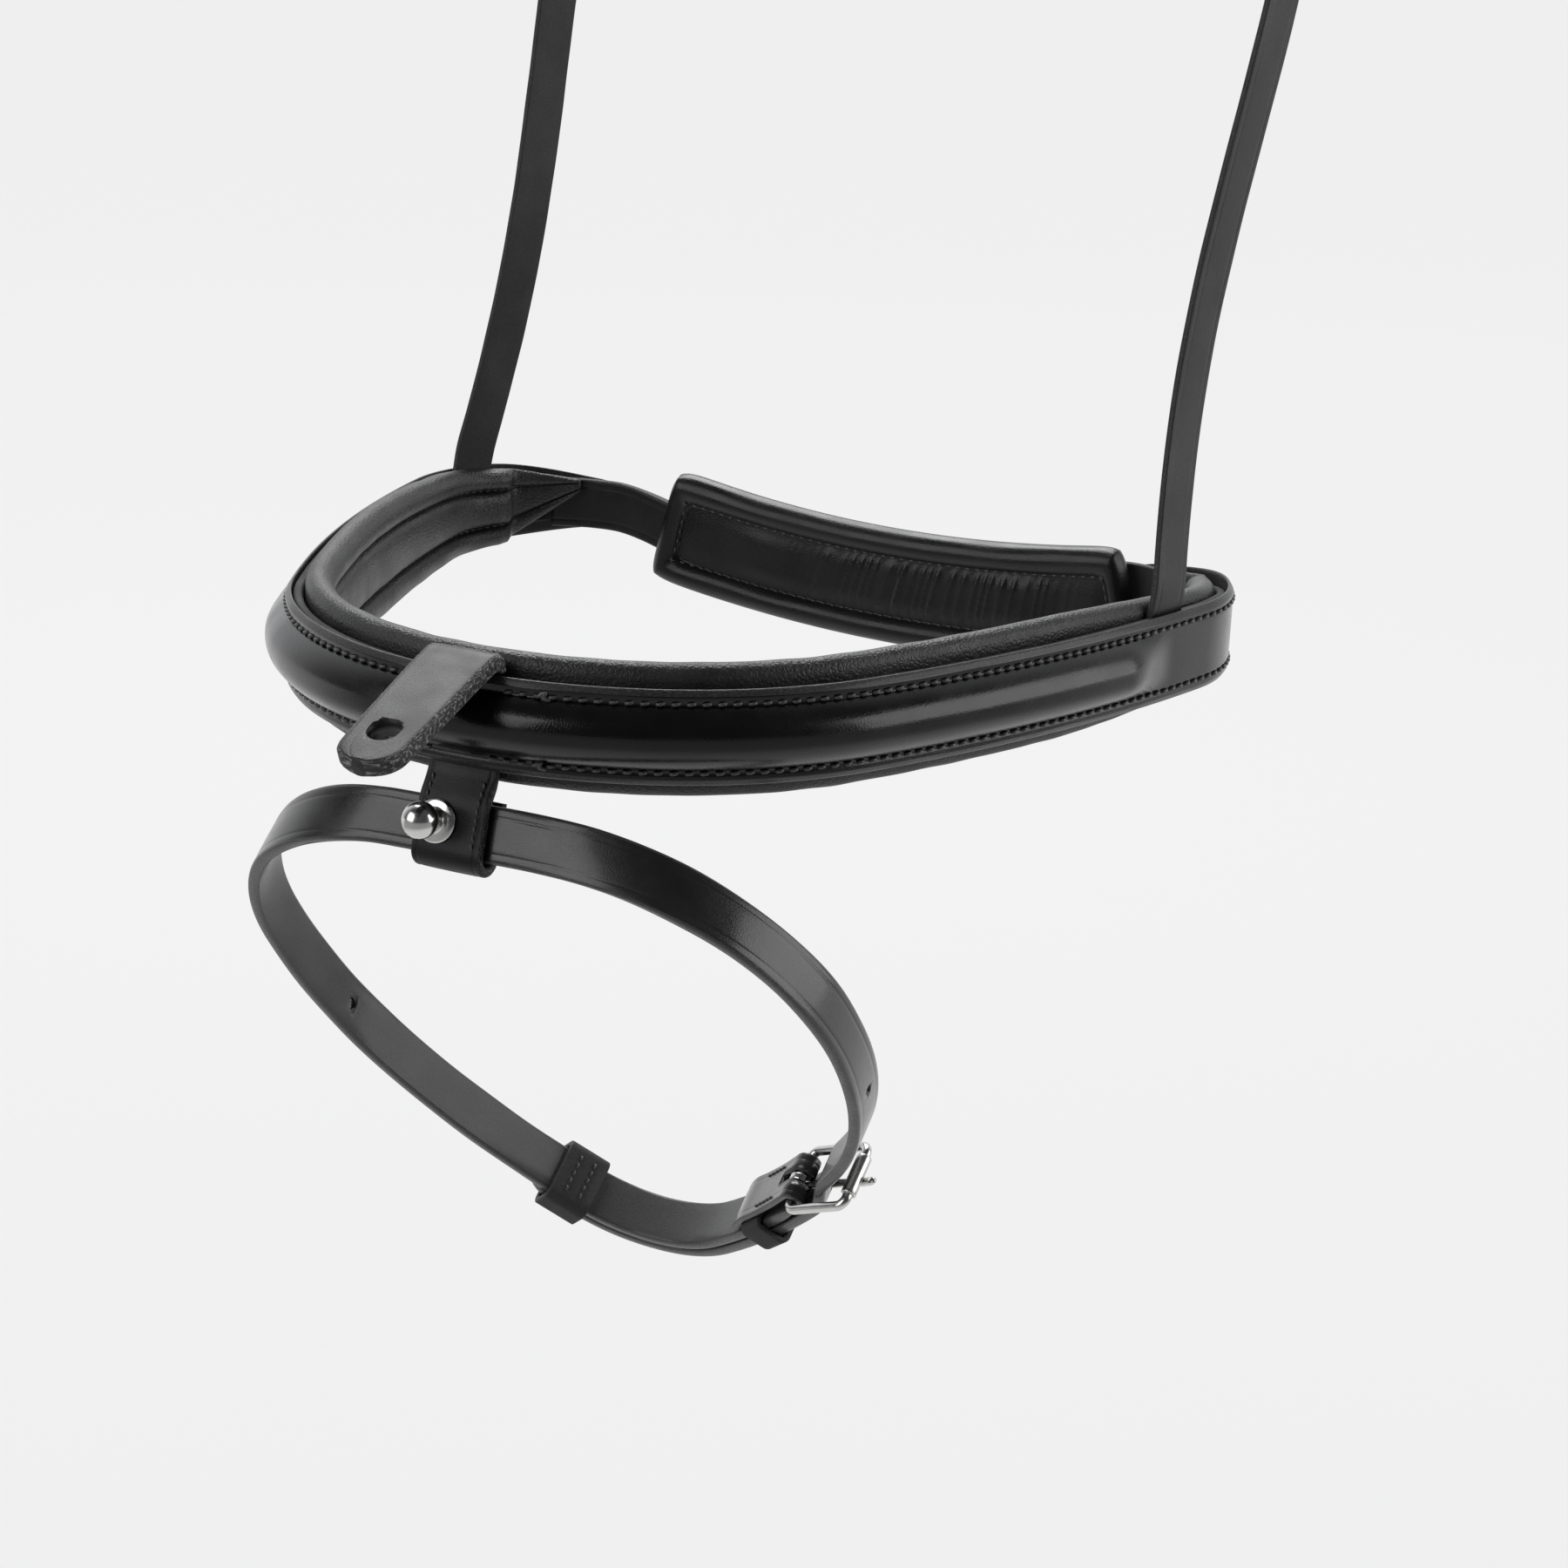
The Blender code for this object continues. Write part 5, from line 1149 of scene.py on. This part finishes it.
def chin_strap():
    """From the off end, behind the pad, round the near ring and back over the outside."""
    inner_s = np.concatenate([spaced(-BACKING_REACH - 0.6, -CORNER_END - 4.0, 2.3),
                              spaced(-CORNER_END - 8.0, -CORNER_END - BACK_HALF, 10.0)])
    n = eased(np.abs(inner_s), [(PADDING_REACH, 0.0), (CORNER_END + 6.0, CHIN_N)])
    rear_x = back_x(RING_REAR)
    bend = (OUTER_N - CHIN_N) / 2
    a = np.linspace(0, math.pi, 13)[1:]
    x_in = spaced(8.0, rear_x, 8.0)
    outs = np.concatenate([spaced(rear_x - 6.0, CHIN_BUCKLE_X - ROLLER_PAST + 3.0, 8.0),
                           CHIN_BUCKLE_X - spaced(ROLLER_PAST, 12.0, 1.7),
                           CHIN_TIP_X + np.array([16.0, 12.0]), CHIN_TIP_X + tip_places(CHIN_TIP_ROUND)])
    centres = dipped(np.vstack([
        on_hoop(inner_s, n, 0.0),
        np.stack([x_in, np.full_like(x_in, BACK_Y + CHIN_N), 0 * x_in], -1),
        np.stack([rear_x + bend * np.sin(a), BACK_Y + RING_N - bend * np.cos(a), 0 * a], -1),
        np.stack([outs, BACK_Y + OUTER_N + weave(CHIN_BUCKLE_X - outs), 0 * outs], -1)]))
    width = np.full(len(centres), CHIN_WIDTH)
    width[-len(outs):] *= tip_share((CHIN_TIP_X + CHIN_TIP_ROUND - outs) / CHIN_TIP_ROUND)
    thick = np.full(len(centres), STRAP_THICK)
    thick[:len(inner_s)] = eased(np.abs(inner_s), [(LEATHER_REACH + 1.0, BACKING_THICK - 0.1),
                                                   (LEATHER_REACH + 9.0, STRAP_THICK)])
    ob = strap("chin_strap", through(row(centres, UP, width, thick), 1.3), STRAP_LEATHER, "noseband", seed=21)
    at_buckle = back_seat(CHIN_BUCKLE_X, OUTER_N, dip(CHIN_BUCKLE_X))
    cut(ob, [prong_hole(at_buckle)] + [strap_hole(back_seat(x, OUTER_N, dip(x)).origin, Y_WAY)
                                       for x in (CHIN_BUCKLE_X + ahead for ahead in CHIN_HOLES)])


def chin_closure():
    """The back buckle's chape and keeper, the near ring and the chape that holds it."""
    seat = back_seat(CHIN_BUCKLE_X, OUTER_N, dip(CHIN_BUCKLE_X))
    lie = CHIN_N + STRAP_THICK / 2 + SEAM_GAP + CHAPE_THICK / 2 - OUTER_N
    x = np.array([3.0, 6.0, 9.0, 12.0, 18.0, 26.0, 34.0])
    path = np.vstack([fold_path(34.0, lie),
                      np.stack([x, eased(x, [(3.0, 0.0), (12.0, lie + CHAPE_THICK + SEAM_GAP)])], -1)])
    knots = row(seat.put(*path.T), seat.axes[2], CHIN_WIDTH, CHAPE_THICK)
    ob = strap("chin_chape", through(knots, 1.1), STRAP_LEATHER, "noseband", seed=31)
    cut(ob, [prong_slot(seat)])
    buckle("chin_buckle", seat, CHIN_WIDTH)
    keeper("chin_fixed_keeper", seat.moved(19.0), CHIN_N - STRAP_THICK / 2 - OUTER_N, END_OVER, CHIN_WIDTH,
           8.0, "noseband")
    front, rear = back_x(RING_FRONT), back_x(RING_REAR)
    wire_frame("near_ring", back_seat(front, 0.0, dip((front + rear) / 2)), (0, RING_N),
               (front - rear, RING_N), CHIN_WIDTH, "ring")
    stem_s = spaced(BACKING_REACH + 0.6, RING_FRONT, 2.5)
    a = np.linspace(0, math.pi, 13)[1:]
    back = np.array([4.0, 6.5, 9.0])
    level = back_seat(front, 0.0, 0.0)
    centres = dipped(np.vstack([on_hoop(stem_s, 0 * stem_s, 0.0),
                                level.put(RING_N * np.sin(a), RING_N - RING_N * np.cos(a)),
                                level.put(-back, 0 * back + 2 * RING_N)]))
    knots = row(centres, UP, CHIN_WIDTH - 1.0, BACKING_THICK - 0.2)
    strap("near_chape", through(knots, 1.1), STRAP_LEATHER, "noseband", seed=33)


PAD_FACE = CHIN_N - STRAP_THICK / 2 - KEEPER_SLACK - KEEPER_THICK - SEAM_GAP


def pad_spot(u, v, depth):
    """Places on the jaw pad from shares along and up, depth towards the jaw: it bows down in the middle."""
    sag = PAD_LOW + PAD_SAG * (1 - u * u) + PAD_TILT * u
    x = u * ((PAD_LENGTH - PAD_SLANT * v) / 2 - PAD_ROUND * np.abs(v) ** 7)
    z = v * (PAD_HEIGHT / 2 - PAD_ROUND * np.abs(u) ** 28)
    return np.stack([PAD_CENTRE + x, BACK_Y + PAD_FACE - depth + 0 * u, z - sag], -1)


def pad_depth(u, v):
    """The pad's thickness: a broad rolled rim, a sewn channel, and a soft middle with upright wrinkles.

    With r the distance in from the rim, the roll is sin(pi r / PAD_SEAM)^0.6 up to the channel and
    the middle rises behind it in a soft step.  The wrinkles are sharp where the pad bends.
    """
    ends, sides = (1 - np.abs(u)) * PAD_LENGTH / 2 * 1.25, (1 - np.abs(v)) * PAD_HEIGHT / 2
    rim = (np.maximum(ends, 0.01) ** -5 + np.maximum(sides, 0.01) ** -5) ** -0.2
    roll = np.sin(math.pi * np.clip(rim / PAD_SEAM, 0, 1)) ** 0.6
    crown = smooth((rim - PAD_SEAM + 0.6) / 6.0)
    x = u * PAD_LENGTH / 2
    lean = x - 3.0 * v + wander(v * 9.0, 0.5, 14.0, 43)
    bends = np.exp(-((x - 14.0) / 36.0) ** 4)
    ridge = 1 - np.abs(np.sin(math.pi * (lean + wander(lean, 0.9, 11.0, 41)) / 3.1)) ** 0.8
    wrinkles = ridge * bends * (0.55 + wander(lean, 0.15, 7.0, 42)) * smooth((rim - PAD_SEAM) / 3.0)
    swells = wander(x + 4.0 * v, 0.16, 34.0, 44)
    return PAD_THICK * (0.44 + 0.34 * roll + 0.08 * crown) + wrinkles + swells * (roll + crown)


def closer_at_ends(count, share):
    """Values from -1 to 1, closer together at both ends by that share of a sine."""
    even = np.linspace(-1, 1, count)
    return np.sin(np.linspace(-math.pi / 2, math.pi / 2, count)) * share + even * (1 - share)


def chin_pad():
    """The jaw pad: a flat back, a rounded wall and a soft sewn face."""
    u, v = np.meshgrid(closer_at_ends(321, 0.35), closer_at_ends(111, 0.5), indexing="ij")
    rows, columns = u.shape
    count = rows * columns
    front = pad_spot(u, v, pad_depth(u, v)).reshape(-1, 3)
    back = pad_spot(u, v, 0 * u).reshape(-1, 3)
    index = np.arange(count).reshape(rows, columns)
    rim = np.concatenate([index[:-1, 0], index[-1, :-1], index[:0:-1, -1], index[0, :0:-1]])
    middle = pad_spot(0.0, 0.0, 0.0)
    shares = np.linspace(0, 1, 8)[1:-1]
    outwards = unit((back[rim] - middle) * [1.0, 0.0, PAD_LENGTH / PAD_HEIGHT])
    wall = [front[rim] * (1 - share) + back[rim] * share + outwards * 0.45 * math.sin(math.pi * share)
            for share in shares]
    grid = quads(rows, columns, False, False)[0]
    lines = [2 * count + k * len(rim) + np.arange(len(rim)) for k in range(len(shares))]
    lines = [rim] + lines + [rim + count]
    strips = [np.stack([a, np.roll(a, -1), np.roll(b, -1), b], -1) for a, b in zip(lines, lines[1:])]
    faces = np.vstack([grid, grid[:, ::-1] + count, *strips])
    ob = surface("chin_pad_dressed", np.vstack([front, back, *wall]), faces.tolist(), PAD_LEATHER, "jaw_pad",
                 ["chin_pad"])
    for label, x in (("off", PAD_CENTRE - 4.0), ("near", PAD_CENTRE + 26.0)):
        keeper("pad_loop_" + label, back_seat(x, 0.0, dip(x)), CHIN_N - STRAP_THICK / 2,
               CHIN_N + STRAP_THICK / 2, CHIN_WIDTH, 11.0, "jaw_pad")


def pad_stitches():
    """The sewn rectangle on the jaw pad's face."""
    x_in, z_in = 1 - 1.6 * PAD_SEAM / PAD_LENGTH, 1 - 2 * PAD_SEAM / PAD_HEIGHT
    u = spaced(-x_in, x_in, STRAP_PITCH * 2.3 / PAD_LENGTH)
    v = spaced(-z_in, z_in, STRAP_PITCH * 2.3 / PAD_HEIGHT)
    us = np.concatenate([u, u, np.full_like(v, -x_in), np.full_like(v, x_in)])
    vs = np.concatenate([np.full_like(u, -z_in), np.full_like(u, z_in), v, v])
    du, dv = 0.01 * np.repeat([[1.0, 0.0], [0.0, 1.0]], [2 * len(u), 2 * len(v)], axis=1)
    ways = pad_spot(us + du, vs + dv, 0 * us) - pad_spot(us - du, vs - dv, 0 * us)
    stitches("chin_pad_stitches", pad_spot(us, vs, pad_depth(us, vs)), ways, -Y_WAY, "jaw_pad", "chin_pad",
             1.8, FINE_THREAD)


# Build
nosepiece_leather()
nosepiece_backing()
stitch_rows()
nosepiece_padding()
for side in (-1, 1):
    hanger(side)
flash_tab()
flash_loop()
stud()
flash_strap()
chin_strap()
chin_closure()
chin_pad()
pad_stitches()

for node, mat in (("nosepiece_filler", DARK_EDGE), ("flash_tab_root", DARK_EDGE),
                  ("flash_loop_root", DARK_EDGE), ("stud_screw", STEEL)):
    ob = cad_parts[node]
    ob.data.materials.clear()
    ob.data.materials.append(mat)


# Floor, light and camera, in metres
FLOOR_DROP, FLOOR_HALF = 0.24, 40
AWAY = (-0.447, 0.894, 0.0)


def floor():
    """A pale floor below the noseband that keeps its shadow."""
    mat = bpy.data.materials.new("pale_floor")
    mat.use_nodes = True
    tree = mat.node_tree
    tree.nodes.clear()
    path = add(tree, "ShaderNodeLightPath")
    mirrored = calc(tree, "MAXIMUM", path.outputs["Is Glossy Ray"], path.outputs["Is Transmission Ray"])
    where = add(tree, "ShaderNodeTexCoord").outputs["Object"]
    level = CAD_LOW[2] - FLOOR_DROP
    behind = add(tree, "ShaderNodeVectorMath", {0: where, 1: AWAY}, operation="DOT_PRODUCT").outputs["Value"]
    away = add(tree, "ShaderNodeVectorMath", {0: where, 1: (0.0, 0.0, -level)}, operation="ADD").outputs[0]
    away = add(tree, "ShaderNodeVectorMath", {0: away}, operation="LENGTH").outputs["Value"]
    lit = calc(tree, "MAXIMUM", band(tree, behind, -0.3, 0.6, 0.3, 1.0),
               band(tree, away, 0.4, 0.85, 0.9, 0.3))
    seen = calc(tree, "MAXIMUM", path.outputs["Is Camera Ray"], times(tree, mirrored, lit))
    even = band(tree, away, 0.1, 3.0, 0.68, 0.81)
    glow = add(tree, "ShaderNodeEmission", {"Color": grey(1.0), "Strength": times(tree, seen, even)})
    matt = add(tree, "ShaderNodeBsdfDiffuse", {"Color": grey(0.18)})
    both = add(tree, "ShaderNodeAddShader", {0: glow.outputs[0], 1: matt.outputs[0]})
    add(tree, "ShaderNodeOutputMaterial", {"Surface": both.outputs[0]})
    mesh = bpy.data.meshes.new("floor")
    corners = [(x * FLOOR_HALF, y * FLOOR_HALF, level) for x, y in ((-1, -1), (1, -1), (1, 1), (-1, 1))]
    mesh.from_pydata(corners, [], [(0, 1, 2, 3)])
    mesh.materials.append(mat)
    ob = linked("floor", mesh)


def aimed(name, data, x, y, z, place):
    """A lamp or camera in the scene, with those axes and at that place."""
    ob = linked(name, data)
    ob.matrix_world = Matrix(np.vstack([np.column_stack([x, y, z, place]), [0, 0, 0, 1]]).tolist())
    return ob


def lamp(name, place, aim, size, watts):
    """A square soft light that faces aim."""
    data = bpy.data.lights.new(name, "AREA")
    data.shape = "SQUARE"
    data.size = size
    data.energy = watts
    z = unit(np.array(place) - np.array(aim))
    x = unit(np.cross([0.0, 0.05, 1.0], z))
    aimed(name, data, x, np.cross(z, x), z, place)


def studio():
    """A pale surround that is dimmer on the viewer's side, and soft lamps."""
    world = bpy.data.worlds.new("surround")
    world.use_nodes = True
    tree = world.node_tree
    way = add(tree, "ShaderNodeTexCoord").outputs["Generated"]
    way = add(tree, "ShaderNodeVectorMath", {0: way, 1: AWAY}, operation="DOT_PRODUCT").outputs["Value"]
    behind = band(tree, way, 0.0, 0.75, 0.07, 0.9)
    seen = add(tree, "ShaderNodeLightPath").outputs["Is Camera Ray"]
    back = tree.nodes["Background"]
    back.inputs["Color"].default_value = (0.97, 0.98, 1.0, 1.0)
    tree.links.new(calc(tree, "MAXIMUM", behind, times(tree, seen, 0.9)), back.inputs["Strength"])
    bpy.context.scene.world = world
    middle = (0.0, -0.06, -0.2)
    lamp("key_light", (-0.95, -1.75, 0.62), middle, 1.6, 16.0)
    lamp("side_light", (1.6, 0.5, 0.3), middle, 1.25, 11.0)
    lamp("top_light", (-0.6, 0.8, 1.2), middle, 1.2, 26.0)


def camera():
    """The photograph's view: a long lens, a little above the nose and from the near side."""
    data = bpy.data.cameras.new("camera")
    data.lens = 76.64
    data.sensor_width = 36.0
    data.clip_end = 200.0
    right = [0.887905, 0.458193, 0.041029]
    up = [-0.171394, 0.246726, 0.953808]
    back = [0.426905, -0.853924, 0.297601]
    place = [0.371574, -0.805767, -0.000903]
    bpy.context.scene.camera = aimed("camera", data, right, up, back, place)


floor()
studio()
camera()
bpy.context.scene.view_settings.view_transform = "Standard"
